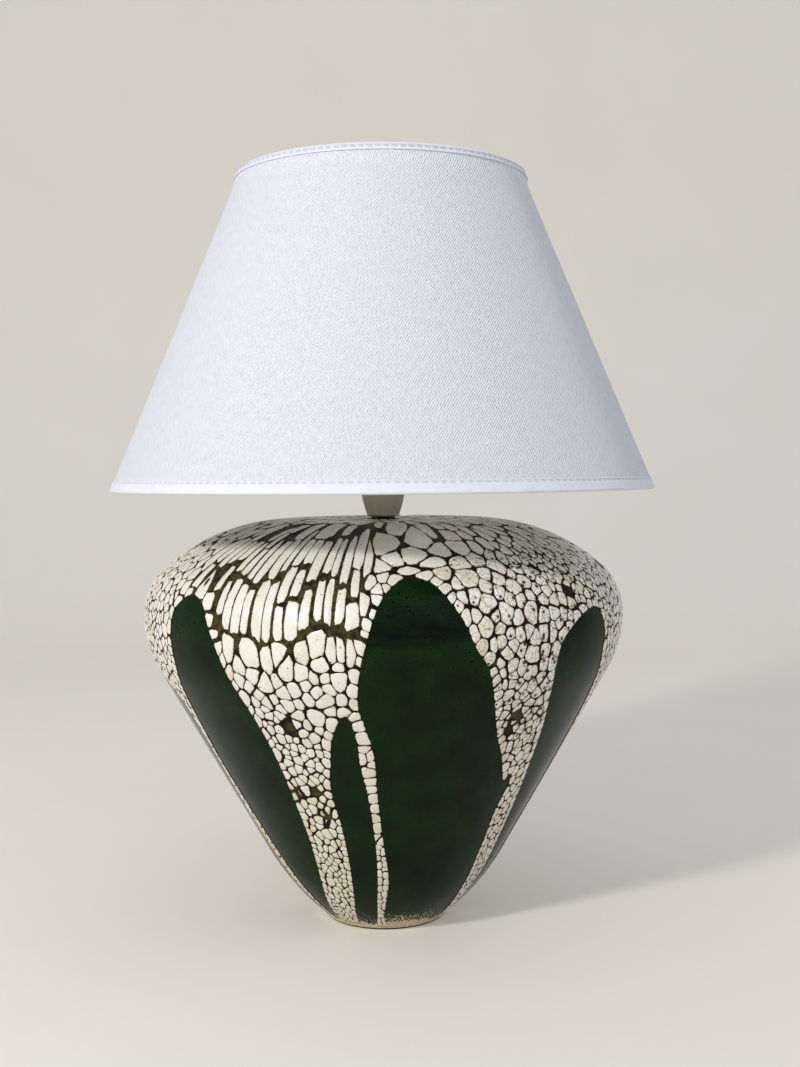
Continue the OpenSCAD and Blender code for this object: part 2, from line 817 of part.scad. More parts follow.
ceramic_body();
felt_pad();
lower_gasket();
clamp_washer();
lower_nut();
threaded_rod();
fibre_washer();
upper_nut();
cable_grommet();
holder_cap();
cap_grub_screw();
holder_sleeve();
holder_core();
screw_shell();
centre_contact();
side_contact();
terminal_blocks();
terminal_screws();
shade_ring();
fitter_ring();
fitter_arm(0);  // fitter_arm_1
fitter_arm(1);  // fitter_arm_2
fitter_arm(2);  // fitter_arm_3
lower_wire();
upper_wire();
shade_liner();
shade_cover();
lower_binding();
upper_binding();
bulb_globe();
bulb_housing();
led_plate();
driver_board();
bulb_screw_cap();
bulb_insulator();
bulb_contact();
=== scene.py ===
import math
from functools import partial

import bmesh
import bpy
import numpy as np
from mathutils import Matrix, Vector, kdtree


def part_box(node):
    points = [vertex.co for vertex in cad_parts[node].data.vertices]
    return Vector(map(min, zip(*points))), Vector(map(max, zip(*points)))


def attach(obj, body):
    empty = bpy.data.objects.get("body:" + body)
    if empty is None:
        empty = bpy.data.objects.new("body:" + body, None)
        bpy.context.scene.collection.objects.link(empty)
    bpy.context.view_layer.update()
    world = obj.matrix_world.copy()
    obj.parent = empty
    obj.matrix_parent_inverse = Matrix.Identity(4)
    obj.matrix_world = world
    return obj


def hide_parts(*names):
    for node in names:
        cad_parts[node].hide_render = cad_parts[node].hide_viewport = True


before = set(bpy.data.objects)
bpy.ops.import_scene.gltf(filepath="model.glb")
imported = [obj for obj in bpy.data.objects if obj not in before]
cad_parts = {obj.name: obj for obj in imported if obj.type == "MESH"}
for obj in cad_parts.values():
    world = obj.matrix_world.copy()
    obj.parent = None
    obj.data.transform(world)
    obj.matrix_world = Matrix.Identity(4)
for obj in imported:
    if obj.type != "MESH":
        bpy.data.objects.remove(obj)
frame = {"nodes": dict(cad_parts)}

nodes, scene = frame["nodes"], bpy.context.scene
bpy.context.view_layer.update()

# Camera: the pinhole fitted to the shade's rims, the shoulder and the foot in the photograph,
# a little above the vessel and looking slightly down. Its picture has the photograph's shape.
def linked(name, data):
    """A new object in the scene"""
    made = bpy.data.objects.new(name, data)
    scene.collection.objects.link(made)
    return made


pitch, roll = math.radians(2.869), math.radians(-0.432)
ahead = Vector((0, math.cos(pitch), -math.sin(pitch)))
aside, above = Vector((1, 0, 0)), Vector((0, math.sin(pitch), math.cos(pitch)))
turned = Matrix((aside * math.cos(roll) + above * math.sin(roll),
                 above * math.cos(roll) - aside * math.sin(roll), -ahead)).transposed()
camera = linked("camera", bpy.data.cameras.new("camera"))
camera.data.lens, camera.data.sensor_width = 43.58, 36
camera.matrix_world = Matrix.Translation((0.0125, -0.9684, 0.3344)) @ turned.to_4x4()
scene.camera = camera
scene.view_settings.view_transform = "Standard"


# Stage: a pale floor that sweeps up into a backdrop, a key lamp low at the front left, whose
# shadow of the shade falls on the dome as in the photograph, and a soft even surround.
def linear(colour):
    """An sRGB hex colour as linear RGBA"""
    parts = [int(colour[k:k + 2], 16) / 255 for k in (1, 3, 5)]
    return (*(c / 12.92 if c <= 0.04045 else ((c + 0.055) / 1.055) ** 2.4 for c in parts), 1.0)


def add_node(tree, kind, *inputs, stops=(), **named):
    """A new node, a shader node unless its kind says otherwise. Names with a capital are inputs and
    the others settings. An input is set, or linked to a socket or to a node's first one in use"""
    made = tree.nodes.new(kind if "Node" in kind else "ShaderNode" + kind)
    for name in [name for name in named if name[0].islower()]:
        setattr(made, name, named.pop(name))
    pairs = list(zip([socket for socket in made.inputs if socket.enabled], inputs))
    pairs += [(made.inputs[name.replace("_", " ")], value) for name, value in named.items()]
    for socket, value in pairs:
        if isinstance(value, bpy.types.Node):
            value = next(output for output in value.outputs if output.enabled)
        if isinstance(value, bpy.types.NodeSocket):
            tree.links.new(value, socket)
        else:
            socket.default_value = value
    for _ in stops[2:]:
        made.color_ramp.elements.new(1)
    for number, (position, colour) in enumerate(stops):
        element = made.color_ramp.elements[number]
        element.position, element.color = position, linear(colour)
    return made


def material(name):
    """A new material, the function that adds nodes to it, and object coordinates. These are in
    metres, so a pattern's scale is 1000 over its real size in mm"""
    made = bpy.data.materials.new(name)
    made.use_nodes = True
    made.node_tree.nodes.clear()
    add = partial(add_node, made.node_tree)
    return made, add, add("TexCoord").outputs["Object"]


def mesh_object(name, points, faces, coat):
    """A mesh object from points in mm, welded, facing outwards and smooth but for its sharp edges"""
    mesh = bpy.data.meshes.new(name)
    corners = faces if isinstance(faces, list) else faces.tolist()
    mesh.from_pydata((np.asarray(points).reshape(-1, 3) / 1000).tolist(), [], corners)
    work = bmesh.new()
    work.from_mesh(mesh)
    bmesh.ops.remove_doubles(work, verts=work.verts, dist=1e-6)
    bmesh.ops.recalc_face_normals(work, faces=work.faces)
    work.to_mesh(mesh)
    work.free()
    mesh.shade_smooth()
    mesh.set_sharp_from_angle(angle=math.radians(38))
    mesh.materials.append(coat)
    return linked(name, mesh)


# Matt paint: a warm pale ground with clouds 260 mm wide that are hardly seen. It gives off a
# little light of its own to the camera, so that it stays pale in the lamp's shade.
coat, add, place = material("pale_painted_floor")
cloud = add("TexNoise", Vector=place, Scale=1000 / 260, Detail=3)
tone = add("Mix", cloud, linear("#e2ddd2"), linear("#e8e3d9"), data_type="RGBA")
rays = add("LightPath").outputs
seen = add("Math", rays["Is Glossy Ray"], rays["Is Transmission Ray"], operation="MAXIMUM")
seen = add("Math", rays["Is Camera Ray"], seen, operation="MAXIMUM")
add("OutputMaterial", add(
    "BsdfPrincipled", Base_Color=tone, Roughness=0.72, Emission_Color=tone,
    Emission_Strength=add("Math", seen, 0.18, operation="MULTIPLY")))
curve_y, curve_r, half_width = 1300, 1100, 5000
bend = np.linspace(0, math.pi / 2, 16)
sweep = np.concatenate([
    [(-3000, 0), (-1000, 0)],
    np.stack([curve_y + curve_r * np.sin(bend), curve_r - curve_r * np.cos(bend)], 1), [(2400, 4000)]])
corners = [[(x, y, z) for x in (-half_width, half_width)] for y, z in sweep]
strips = [(2 * k, 2 * k + 1, 2 * k + 3, 2 * k + 2) for k in range(len(sweep) - 1)]
mesh_object("floor", corners, strips, coat)

world = bpy.data.worlds.new("surround")
world.use_nodes = True
world.node_tree.nodes["Background"].inputs["Color"].default_value = linear("#dfe3ea")
world.node_tree.nodes["Background"].inputs["Strength"].default_value = 0.66
scene.world = world
for name, side, up, distance, size, power, colour in (
        ("key", -37, 27, 2.3, 0.22, 28, (1.0, 0.97, 0.93)),
        ("fill", 48, 35, 2.6, 2.2, 6, (0.95, 0.97, 1.0))):
    lamp = bpy.data.lights.new(name, "AREA")
    lamp.size, lamp.energy, lamp.color = size, power, colour
    holder = linked(name, lamp)
    side, up = math.radians(side), math.radians(up)
    out = Vector((math.sin(side) * math.cos(up), -math.cos(side) * math.cos(up), math.sin(up)))
    holder.location = Vector((0, 0, 0.3)) + out * distance
    holder.rotation_euler = out.to_track_quat("Z", "Y").to_euler()

# Ceramic vessel: thrown stoneware with a 7 mm wall, closed but for the rod's hole in the dome and
# in the floor, glazed dark over the clay, with green panels poured down its flank. The foot ring
# is bare clay. Its wall line repeats the CAD's chain of tangent arcs; sizes are in mm.
body_r, belly_z = 1000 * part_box("ceramic_body")[1].x, 229.0
body_top = 1000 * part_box("ceramic_body")[1].z
low_r, high_r, high_turn = 80.0, 46.0, 50.0
foot_r, foot_z, foot_arc_r, foot_flare = 48.0, 3.0, 195.0, 49.0
skin = 0.4      # how far the dark glaze lies under the CAD's wall


def arc(centre, radius, start, end, count):
    turn = np.radians(np.linspace(start, end, count))
    return np.stack([centre[0] + radius * np.cos(turn), centre[1] + radius * np.sin(turn)], 1)


def wall_line():
    low, high = np.array([body_r - low_r, belly_z]), np.array([body_r - high_r, belly_z])
    flare, turn = math.radians(foot_flare), math.radians(high_turn)
    foot = np.array([foot_r - foot_arc_r * math.cos(flare), foot_z + foot_arc_r * math.sin(flare)])
    gap = low - foot
    flank = math.degrees(math.acos((foot_arc_r - low_r) / np.hypot(*gap)) - math.atan2(gap[1], gap[0]))
    start = high + high_r * np.array([math.cos(turn), math.sin(turn)])
    dome_r = (body_top - start[1]) / (1 - math.sin(turn))
    dome = start - dome_r * np.array([math.cos(turn), math.sin(turn)])
    foot_end, low_start = arc(foot, foot_arc_r, -flank, 0, 2)[0], arc(low, low_r, -flank, 0, 2)[0]
    return np.concatenate([
        arc(foot, foot_arc_r, -foot_flare, -flank, 16), np.linspace(foot_end, low_start, 34)[1:-1],
        arc(low, low_r, -flank, 0, 13), arc(high, high_r, 0, high_turn, 15)[1:],
        arc(dome, dome_r, high_turn, 90, 30)[1:],
        np.stack([np.linspace(dome[0], 12.0, 16)[1:], np.full(15, body_top)], 1)])


wall = wall_line()
run = np.concatenate([[0], np.cumsum(np.hypot(*np.diff(wall, axis=0).T))])
rise = np.concatenate([[0], np.cumsum(np.diff(run) / ((wall[1:, 0] + wall[:-1, 0]) / 2))])
slope = np.gradient(wall, run, axis=0)
slope /= np.hypot(*slope.T)[:, None]
out_line = np.stack([slope[:, 1], -slope[:, 0]], 1)


def on_wall(v, height):
    """Radius and level of the point that stands height mm off the wall, where v is a place up the
    wall in the chart that keeps angles: its step is the distance along the wall by the radius"""
    r, z, normal_r, normal_z = (np.interp(v, rise, line) for line in (*wall.T, *out_line.T))
    return r + normal_r * height, z + normal_z * height


def up_wall(z):
    """The chart's v at a level below the dome's flat top"""
    last = int(np.argmax(wall[:, 1] > body_top - 1e-6))
    return np.interp(z, wall[:last, 1], rise[:last])


def turned_out(a, r, z):
    """Points from the angle from the front, to the right, the radius and the level"""
    return np.stack([r * np.sin(a), -r * np.cos(a), z], -1)


def turns(count, start=0.0):
    """Evenly spaced angles once round"""
    return np.linspace(start, start + 2 * math.pi, count, endpoint=False)


def wrapped(angle):
    return (angle + math.pi) % (2 * math.pi) - math.pi


def beside(a, degrees):
    """How far angles are to the right of one in degrees"""
    return wrapped(a - math.radians(degrees))


def ease(value, low, high):
    """A smooth step from 0 at low to 1 at high"""
    t = np.clip((value - low) / (high - low), 0, 1)
    return t * t * (3 - 2 * t)


def within(a, degrees, inner, outer):
    """1 round an angle in degrees, falling to 0 between two half widths in radians"""
    return 1 - ease(np.abs(beside(a, degrees)), inner, outer)


def ripple(a):
    """How the glaze's lower edge rises and falls round the foot, in mm"""
    return 1.2 * np.sin(3 * a + 1) + 0.8 * np.sin(8 * a)


def grid_faces(rows, columns, closed=False):
    """Quads of a grid of points that wraps round its columns, and round its rows if closed"""
    row = np.arange(rows if closed else rows - 1)[:, None] * columns
    column, following = np.arange(columns)[None], (np.arange(columns)[None] + 1) % columns
    up = (row + columns) % (rows * columns)
    return np.stack([row + column, row + following, up + following, up + column], -1).reshape(-1, 4)


def points_of(mesh):
    """A mesh's points in mm"""
    return np.array([vertex.co for vertex in mesh.vertices]) * 1000


def write(mesh, name, values):
    """Gives a mesh's points an attribute, which its material reads"""
    mesh.attributes.new(name, "FLOAT", "POINT").data.foreach_set("value", values)


def hand_over(made, body, node=None):
    """Gives a piece its body, in the place of a CAD node if one is named, which it hides"""
    if node:
        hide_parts(node)
    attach(made, body)


# The green panels' outlines as (degrees from the front, level). The first four are in view.
panel_outlines = [
    [(-45, 5), (-52, 40), (-57, 76), (-59, 105), (-60, 130), (-58.5, 157), (-57, 180), (-54, 203),
     (-53.5, 225), (-52, 243), (-47.5, 252), (-42.5, 247), (-39, 230), (-36.5, 212), (-34, 190),
     (-31.5, 165), (-30, 140), (-29.5, 110), (-29.5, 78), (-32, 46), (-38, 18), (-39, 5)],
    [(-21, 5), (-16, 36), (-14.5, 62), (-14.5, 93), (-15.5, 120), (-14, 142), (-12, 163),
     (-8.5, 178), (-6.5, 165), (-6, 142), (-4.5, 117), (-3.5, 90), (-3, 62), (-4, 34), (-8, 5)],
    [(3, 5), (2, 50), (0, 80), (-1.5, 118), (-2, 148), (-3.5, 167), (-5, 184), (-4.5, 205),
     (-3, 224), (-1.5, 240), (1, 256), (6, 266), (11, 263), (14.5, 252), (17.5, 237), (19.7, 222),
     (22.9, 208), (25.7, 188), (28, 172), (30.5, 158), (34.5, 142), (38, 126.5), (39.6, 122.5),
     (41.2, 126.5), (42.8, 118), (42.3, 106), (42.3, 92), (43.7, 73), (44.6, 55), (46, 35), (46, 5)],
    [(57, 5), (56, 48), (54.5, 72), (52, 100), (49, 130), (46, 160), (42.5, 187), (41, 205),
     (42, 221), (46, 232), (51, 239), (56, 240), (59, 226), (60, 208), (63, 190), (67, 168),
     (70, 140), (72, 105), (73, 60), (74, 5)],
    [(88, 5), (86, 45), (84, 85), (82, 125), (81, 165), (83, 205), (87, 238), (95, 258),
     (104, 262), (111, 248), (114, 220), (115, 185), (118, 150), (119, 110), (117, 70), (114, 35),
     (113, 5)],
    [(128, 5), (127, 40), (127, 80), (128, 120), (130, 155), (134, 184), (138, 170), (139.5, 135),
     (140, 95), (139, 55), (138, 5)],
    [(149, 5), (146, 50), (144, 95), (143, 135), (144, 175), (147, 212), (150, 240), (156, 260),
     (165, 267), (174, 262), (180, 242), (183, 212), (187, 180), (190, 145), (190, 100), (187, 55),
     (185, 5)],
    [(201, 5), (199, 45), (200, 90), (202, 130), (204, 170), (206, 205), (210, 236), (217, 248),
     (224, 238), (227, 205), (228, 165), (229, 120), (228, 75), (225, 35), (223, 5)],
    [(237, 5), (237, 50), (238, 95), (240, 140), (243.5, 176), (248, 186), (252, 168), (253, 130),
     (252, 85), (250, 40), (249, 5)],
    [(262, 5), (261, 45), (260, 90), (260, 130), (262, 165), (267, 192), (275, 204), (285, 199),
     (294, 186), (298, 168), (298.5, 140), (297.5, 105), (298, 75), (303, 38), (309, 5)]]
border_step = 1.5


def panel_border(outline):
    """Points a border step apart on a smooth closed curve through an outline, and the unit vectors
    there that point into the panel, both in the chart"""
    b = np.array([(math.radians(a), float(up_wall(z))) for a, z in outline])
    a, c, d = np.roll(b, 1, 0)[:, None], np.roll(b, -1, 0)[:, None], np.roll(b, -2, 0)[:, None]
    b, t = b[:, None], np.linspace(0, 1, 8, endpoint=False)[None, :, None]
    curve = (0.5 * (2 * b + (c - a) * t + (2 * a - 5 * b + 4 * c - d) * t ** 2
                    + (3 * b - a - 3 * c + d) * t ** 3)).reshape(-1, 2)
    closed = np.vstack([curve, curve[:1]])
    middle = on_wall((closed[1:, 1] + closed[:-1, 1]) / 2, 0)[0]
    length = np.concatenate([[0], np.cumsum(np.hypot(*np.diff(closed, axis=0).T) * middle)])
    want = np.linspace(0, length[-1], int(length[-1] / border_step), endpoint=False)
    points = np.stack([np.interp(want, length, closed[:, k]) for k in (0, 1)], 1)
    along = np.roll(points, -1, 0) - np.roll(points, 1, 0)
    inward = np.stack([-along[:, 1], along[:, 0]], 1) / np.hypot(*along.T)[:, None]
    area = (points[:, 0] * np.roll(points[:, 1], -1) - np.roll(points[:, 0], -1) * points[:, 1]).sum()
    return points, inward * np.sign(area)


borders = [panel_border(outline) for outline in panel_outlines]
border, inward = (np.concatenate(parts) for parts in zip(*borders))
search = kdtree.KDTree(3 * len(border))
for number, (border_a, border_v) in enumerate(border):
    for shift in (-2 * math.pi, 0, 2 * math.pi):
        search.insert((border_a + shift, border_v, 0), number)
search.balance()


def near_border(a, v):
    """The nearest border point of each place: its index, and its distance in mm"""
    index, gap = (np.array(part) for part in zip(*(search.find((x, y, 0))[1:] for x, y in zip(a, v))))
    return index, gap * on_wall(v, 0)[0]


def past_border(a, v, index):
    """How far a place lies past a border point into its panel, as an angle of the chart"""
    return wrapped(a - border[index, 0]) * inward[index, 0] + (v - border[index, 1]) * inward[index, 1]


def into_panel(a, v):
    """How far a place is inside a green panel in mm, under 0 outside"""
    index, gap = near_border(a, v)
    return gap * np.sign(past_border(a, v, index))


# Dark glaze: black brown and lumpy in the thin cracks, mottled olive where the white drew back
# far, and a deep glassy green in the panels, darker in bands and round spots, with fine dark specks
# some 4 mm apart. The clay at the foot is pale, dry and sandy, with a ragged edge to the glaze.
coat, add, place = material("dark_glaze_green_panels_and_bare_clay")
panel, clay, olive, darkened_green = (add("Attribute", attribute_name=name).outputs["Fac"]
                              for name in ("panel", "clay", "olive", "darkened_green"))
broad, middle, fine = (add("TexNoise", Vector=place, Scale=1000 / size, Detail=3)
                       for size in (24, 4.5, 1.3))
mottled = add("ValToRGB", middle, stops=((0.35, "#1c1c10"), (0.47, "#37341a"), (0.6, "#544a2a"),
                                         (0.72, "#22331a")))
dark = add("ValToRGB", middle, stops=((0.35, "#120b07"), (0.7, "#2b1d12")))
ground = add("Mix", add("MapRange", olive, 0.15, 0.6, 0, 1), dark, mottled, data_type="RGBA")
ground = add("Mix", add("MapRange", fine, 0.5, 0.72, 0, 0.7), ground, linear("#120c08"),
             data_type="RGBA")
green = add("ValToRGB", broad, stops=((0.3, "#0b1c08"), (0.52, "#0f250b"), (0.74, "#142e0f")))
level = add("Mapping", Vector=place, Scale=(1, 1, 6))
bands = add("TexNoise", Vector=level, Scale=1000 / 16, Detail=3)
darkened_green = add("Math", darkened_green, add("MapRange", bands, 0.35, 0.65, 0.65, 1.15), operation="MULTIPLY")
green = add("Mix", darkened_green, green, linear("#040e0c"), data_type="RGBA")
dots = add("TexVoronoi", Vector=place, Scale=1000 / 3.8)
upper = add("SeparateXYZ", place).outputs[2]
for shift in ([upper, 0.16, 0.24, 0.05, -0.07], [broad, 0.35, 0.65, 0.06, -0.03]):
    dots = add("Math", dots, add("MapRange", *shift))
green = add("Mix", add("MapRange", dots, 0.1, 0.165, 0.9, 0), green, linear("#020302"),
            data_type="RGBA")
is_green = add("MapRange", panel, -0.5, 0.3, 0, 1)
glaze = add("Mix", is_green, ground, green, data_type="RGBA")
sandy = add("ValToRGB", fine, stops=((0.3, "#bdae92"), (0.55, "#dccfb4"), (0.8, "#eae0ca")))
ragged = add("Math", clay, add("MapRange", fine, 0.3, 0.7, -0.4, 0.4))
is_clay = add("MapRange", ragged, 0.45, 0.72, 0, 1)
gloss = add("Mix", is_green, add("MapRange", fine, 0.35, 0.65, 0.12, 0.5),
            add("MapRange", broad, 0.3, 0.7, 0.07, 0.13))
lumps = add("Math", fine, middle)
for share in ([panel, -1, 0.5, 1, 0.06], [olive, 0, 1, 1, 1.9]):
    lumps = add("Math", lumps, add("MapRange", *share), operation="MULTIPLY")
add("OutputMaterial", add(
    "BsdfPrincipled", Base_Color=add("Mix", is_clay, glaze, sandy, data_type="RGBA"),
    Roughness=add("Mix", is_clay, gloss, 0.86), IOR=1.5, Specular_IOR_Level=0.08,
    Normal=add("Bump", Height=lumps, Distance=0.0005)))

recess_r, recess_top, floor_top, seat_z, hole_r, wall_t = 37.0, 21.5, 30.5, 295.5, 5.5, 7.0
inside = wall - wall_t * out_line
inside = inside[(inside[:, 1] > floor_top) & (inside[:, 0] > hole_r)][::-2]
section = np.concatenate([
    [(hole_r, recess_top), (20, recess_top), (recess_r - 1, recess_top), (recess_r, recess_top - 1),
     (recess_r, 10), (recess_r, 1.8), (recess_r + 0.3, 1.5), (46.2, 1.5), (46.7, 1.62)],
    wall - skin * out_line,
    [(12.2, body_top - 0.6), (12, body_top - 0.9), (12, seat_z), (hole_r, seat_z),
     (hole_r, body_top - wall_t)],
    inside, [(inside[-1, 0] - 1, floor_top), (30, floor_top), (hole_r, floor_top)]])
columns = 448
turn = turns(columns, -math.pi)
points = turned_out(turn, section[:, :1], section[:, 1:] + 0 * turn)
solid = mesh_object("vessel_blank", points, grid_faces(len(section), columns, closed=True), coat)

# The cable inlet is bored through the foot ring at the back, with a pocket for the grommet.
bore = np.array([(0, 25), (5, 25), (5, 49), (7, 49), (7, 62), (0, 62)])
bore_z, bore_sides = 10, 48
turn = turns(bore_sides)
points = np.stack([bore[:, :1] * np.cos(turn), bore[:, 1:] + 0 * turn,
                   bore_z - bore[:, :1] * np.sin(turn)], -1)
drill = mesh_object("inlet_drill", points, grid_faces(len(bore), bore_sides), coat)
cut = solid.modifiers.new("inlet", "BOOLEAN")
cut.object, cut.operation, cut.solver = drill, "DIFFERENCE", "EXACT"
mesh = bpy.data.meshes.new_from_object(solid.evaluated_get(bpy.context.evaluated_depsgraph_get()))
vessel = linked("ceramic_vessel", mesh)
for used in (solid, drill):
    bpy.data.objects.remove(used)

# Where each point of the vessel lies, for its glazes: how far inside a panel, how bare, and how
# much darker its green is. That is a band on the middle panel that starts just under the belly and
# fades upward, and round spots on others; the two by the foot are a dark pool of glaze.
co = points_of(mesh)
point_r, point_a, point_z = np.hypot(co[:, 0], co[:, 1]), np.arctan2(co[:, 0], -co[:, 1]), co[:, 2]
outside, point_v = np.zeros(len(co), bool), np.zeros(len(co))
line = wall - skin * out_line
for start in range(0, len(co), 4000):
    part = slice(start, start + 4000)
    gap = np.hypot(point_r[part, None] - line[None, :, 0], point_z[part, None] - line[None, :, 1])
    outside[part], point_v[part] = gap.min(1) < 0.5, rise[gap.argmin(1)]
panel_depth = np.full(len(co), -9.0)
panel_depth[outside] = into_panel(point_a[outside], point_v[outside])
glaze_line = 6.5 + ripple(point_a) + 0.5 * np.sin(21 * point_a + 2)
bare = 1.3 * np.where(outside, 1 - ease(point_z, glaze_line - 1.5, glaze_line + 1.5), 1.0)
speckled = 0.40 + 0.12 * np.sin(5 * point_a + 0.5) + 0.06 * np.sin(13 * point_a)
speckled *= 1 - ease(point_z, 9, 25)
bare = np.maximum(bare, np.where(outside, speckled, 0))
bare[(point_z > 290) & (point_r < 12.5)] = 0
darkening_z = 222.4 + 5.5 * ease(np.degrees(point_a), 3, 20) + 0.4 * np.sin(23 * point_a)
over = point_z - darkening_z - 0.3 * np.sin(41 * point_a + 1)
darkening = 0.85 * ease(over, -0.6, 1.2) * (1 - 0.9 * ease(over, 8, 36))
darkening *= within(point_a, 8, 0.36, 0.5)
for at_a, at_z, reach in ((41, 38, 6), (38.5, 31, 5.5), (47, 234, 12), (158, 262, 12), (97, 256, 12),
                          (214, 246, 10)):
    off = np.hypot(beside(point_a, at_a) * point_r, 1.1 * (point_z - at_z)) / reach
    darkening = np.maximum(darkening, 0.95 * np.exp(-off ** 4))
for name, values in (("panel", panel_depth), ("clay", bare), ("darkened_green", darkening * outside)):
    write(mesh, name, values)
hand_over(vessel, "base", "ceramic_body")

# White glaze: a thick matt-white glaze that crawled over the dark one as it melted, into some
# thousands of rounded islands: petals on the dome, tall strips on parts of the shoulder, cobbles
# on the flank, beads along the green panels. Each island is a low pillow with a browned rim.
draw = np.random.default_rng(11)


def wave(a, v):
    """Smooth noise from about -1 to 1 that joins up round the vessel"""
    total = np.zeros_like(a)
    for _ in range(6):
        total += np.sin(draw.integers(1, 9) * draw.choice([-1, 1]) * a
                        + draw.uniform(0.4, 1) * 9.0 * v + draw.uniform(0, 6.28))
    return total / 3.2


def run_to(v):
    """Distance up the wall line in mm"""
    return np.interp(v, rise, run)


def hump(a, degrees, half_width):
    """A smooth hump from 0 to 1 round the vessel at an angle in degrees"""
    return np.exp(-(beside(a, degrees) / half_width) ** 2)


def away(a, v, degrees, z):
    """Distance along the wall in mm from the place at an angle in degrees and a level"""
    return np.hypot(beside(a, degrees), v - up_wall(z)) * on_wall(v, 0)[0]


def strips_at(a, v):
    """How much a place belongs to the tall strips of the shoulder, from 0 to 1"""
    shoulder = np.maximum(within(a, -27, 0.36, 0.46), within(a, 131, 0.3, 0.4))
    return shoulder * ease(run_to(v), 252, 262) * (1 - ease(run_to(v), 352, 362))


def petals_at(v):
    """How much a place belongs to the dome's petals, from 0 to 1"""
    return ease(run_to(v), 338, 372)


# Places with larger islands: degrees from the front, level, reach in mm, and how much larger.
big_places = [(-9, 246, 15, 0.75), (-30, 250, 9, 0.3), (-22, 205, 22, 0.12), (-14, 262, 9, 0.4),
              (20, 268, 16, 0.3), (128, 215, 24, 0.25), (196, 236, 20, 0.4), (236, 240, 16, 0.5)]


def island_size(a, v, swell):
    """Width round the vessel and length up it of an island, in mm"""
    s = run_to(v) + 16 * within(a, 8, 0.3, 0.7)
    marks = [0, 30, 90, 150, 225, 315, 345, 375, 420, 442, 476]
    width = np.interp(s, marks, [3.0, 3.6, 4.8, 6.0, 6.9, 6.5, 8.8, 14, 17, 12, 7])
    length = np.interp(s, marks, [4.4, 5.2, 6.3, 7.0, 7.9, 8.2, 14, 38, 46, 30, 12])
    large = 0.62 + 0.38 * hump(a, -5, 0.5) + 0.25 * hump(a, 175, 0.5)
    larger = 1 + petals_at(v) * (large - 1)
    for at_a, at_z, reach, more in big_places:
        larger = larger + more * np.exp(-(away(a, v, at_a, at_z) / reach) ** 2)
    flat = 0.8 * np.exp(-(beside(a, 12) / 0.22) ** 2 - ((s - 343) / 11) ** 2)
    width, length = width * larger * (1 + flat), length * larger * (1 - 0.4 * flat)
    strips = strips_at(a, v)
    width += strips * (7.4 - width)
    length += strips * (32 - length)
    return width * swell, length * swell


# Places are thrown at random, more of them where islands are small.
low_v, top_v = float(up_wall(5.5)), float(rise[-1])
grid_columns, grid_rows = 300, 420
grid_a, grid_v = np.meshgrid(turns(grid_columns, -math.pi),
                             np.linspace(low_v, top_v, grid_rows))
grid_a, grid_v = grid_a.ravel(), grid_v.ravel()
width, length = island_size(grid_a, grid_v, 1)
weight = on_wall(grid_v, 0)[0] ** 2 / (width * length)
picked = draw.choice(len(grid_a), 64000, p=weight / weight.sum())
a = grid_a[picked] + draw.random(len(picked)) * 2 * math.pi / grid_columns
v = grid_v[picked] + (draw.random(len(picked)) - 0.5) * (top_v - low_v) / grid_rows

# Beads come first, one after the other along each border, and longer that way. Where two panels
# almost meet, a bead fills the strip between them. The very first is the long one over the middle
# panel. Then come the strips, in columns up the shoulder. Each is (angle, v, width, length).
seeds = [(math.radians(6.5), float(up_wall(269)), 22.0, 6.4)]
for points, into in borders:
    left = 0.0
    scale = on_wall(points[:, 1], 0)[0]
    tight = np.full(len(points), 16.0)
    for gap in (12.0, 10.0, 8.0, 6.0):
        there = points - into * gap / scale[:, None]
        tight[into_panel(there[:, 0], there[:, 1]) > 0] = gap
    for at, way, room, radius_at in zip(points, into, tight, scale):
        left -= border_step
        if left < 0:
            small = 0.72 if at[1] < up_wall(100) else 1.0
            long, thick = draw.uniform(5.5, 12) * small, draw.uniform(3.8, 5.8) * small
            if room < 11 and at[1] > up_wall(92):
                long, thick = draw.uniform(6.5, 10), room - 1.4
            left = 0.92 * long
            seeds.append((*(at - way * (0.5 * thick + 0.2) / radius_at),
                          math.hypot(way[0] * thick, way[1] * long),
                          math.hypot(way[1] * thick, way[0] * long)))
bead_count = len(seeds)
for middle, half_turn in ((-27, 25), (131, 20)):
    turn, wander = middle - half_turn, 0.0
    while turn < middle + half_turn:
        across = draw.uniform(6.6, 10.2)
        step = math.degrees(across / body_r)
        wander = 0.6 * wander + draw.uniform(-3, 3)
        start, ended = 266 + wander, 298 + 3 * math.sin(turn * 0.4) + draw.uniform(-6, 6)
        rows = []
        if turn < -34 or draw.random() < 0.35:
            rows.append((start - 4 - draw.uniform(12, 20), start - 4, 1.15))
        rows += [(start, ended, 1.0), (ended + draw.uniform(1, 4), 352 + draw.uniform(-10, 8), 1.0)]
        if draw.random() < 0.25:
            rows[-2:] = [(start, start + 18, 1.0), (start + 19, start + 46, 1.0), (start + 48, 352, 1.0)]
        for low_s, high_s, fat in rows:
            at_v, at_r = (float(np.interp((low_s + high_s) / 2, run, line)) for line in (rise, wall[:, 0]))
            broad_w = fat * across * at_r / body_r
            seeds.append((math.radians(turn + step / 2), at_v, broad_w, high_s - low_s))
        turn += step
seed_count, seeds = len(seeds), np.array(seeds).T
a, v = np.concatenate([seeds[0], a]), np.concatenate([seeds[1], v])
radius = on_wall(v, 0)[0]
width, length = island_size(a, v, 1 + 0.26 * wave(a, v))
width[:seed_count], length[:seed_count] = seeds[2:]
blunt = np.maximum(strips_at(a, v), 0.4 * petals_at(v))
outer = -into_panel(a, v)
close = draw.uniform(0.66, 1.05, len(a))
close[:bead_count], close[bead_count:seed_count] = 0.6, 0.5
usable = np.nonzero((outer > 0.27 * np.minimum(width, 8)) & (v > low_v) & (v < top_v - 0.03))[0]


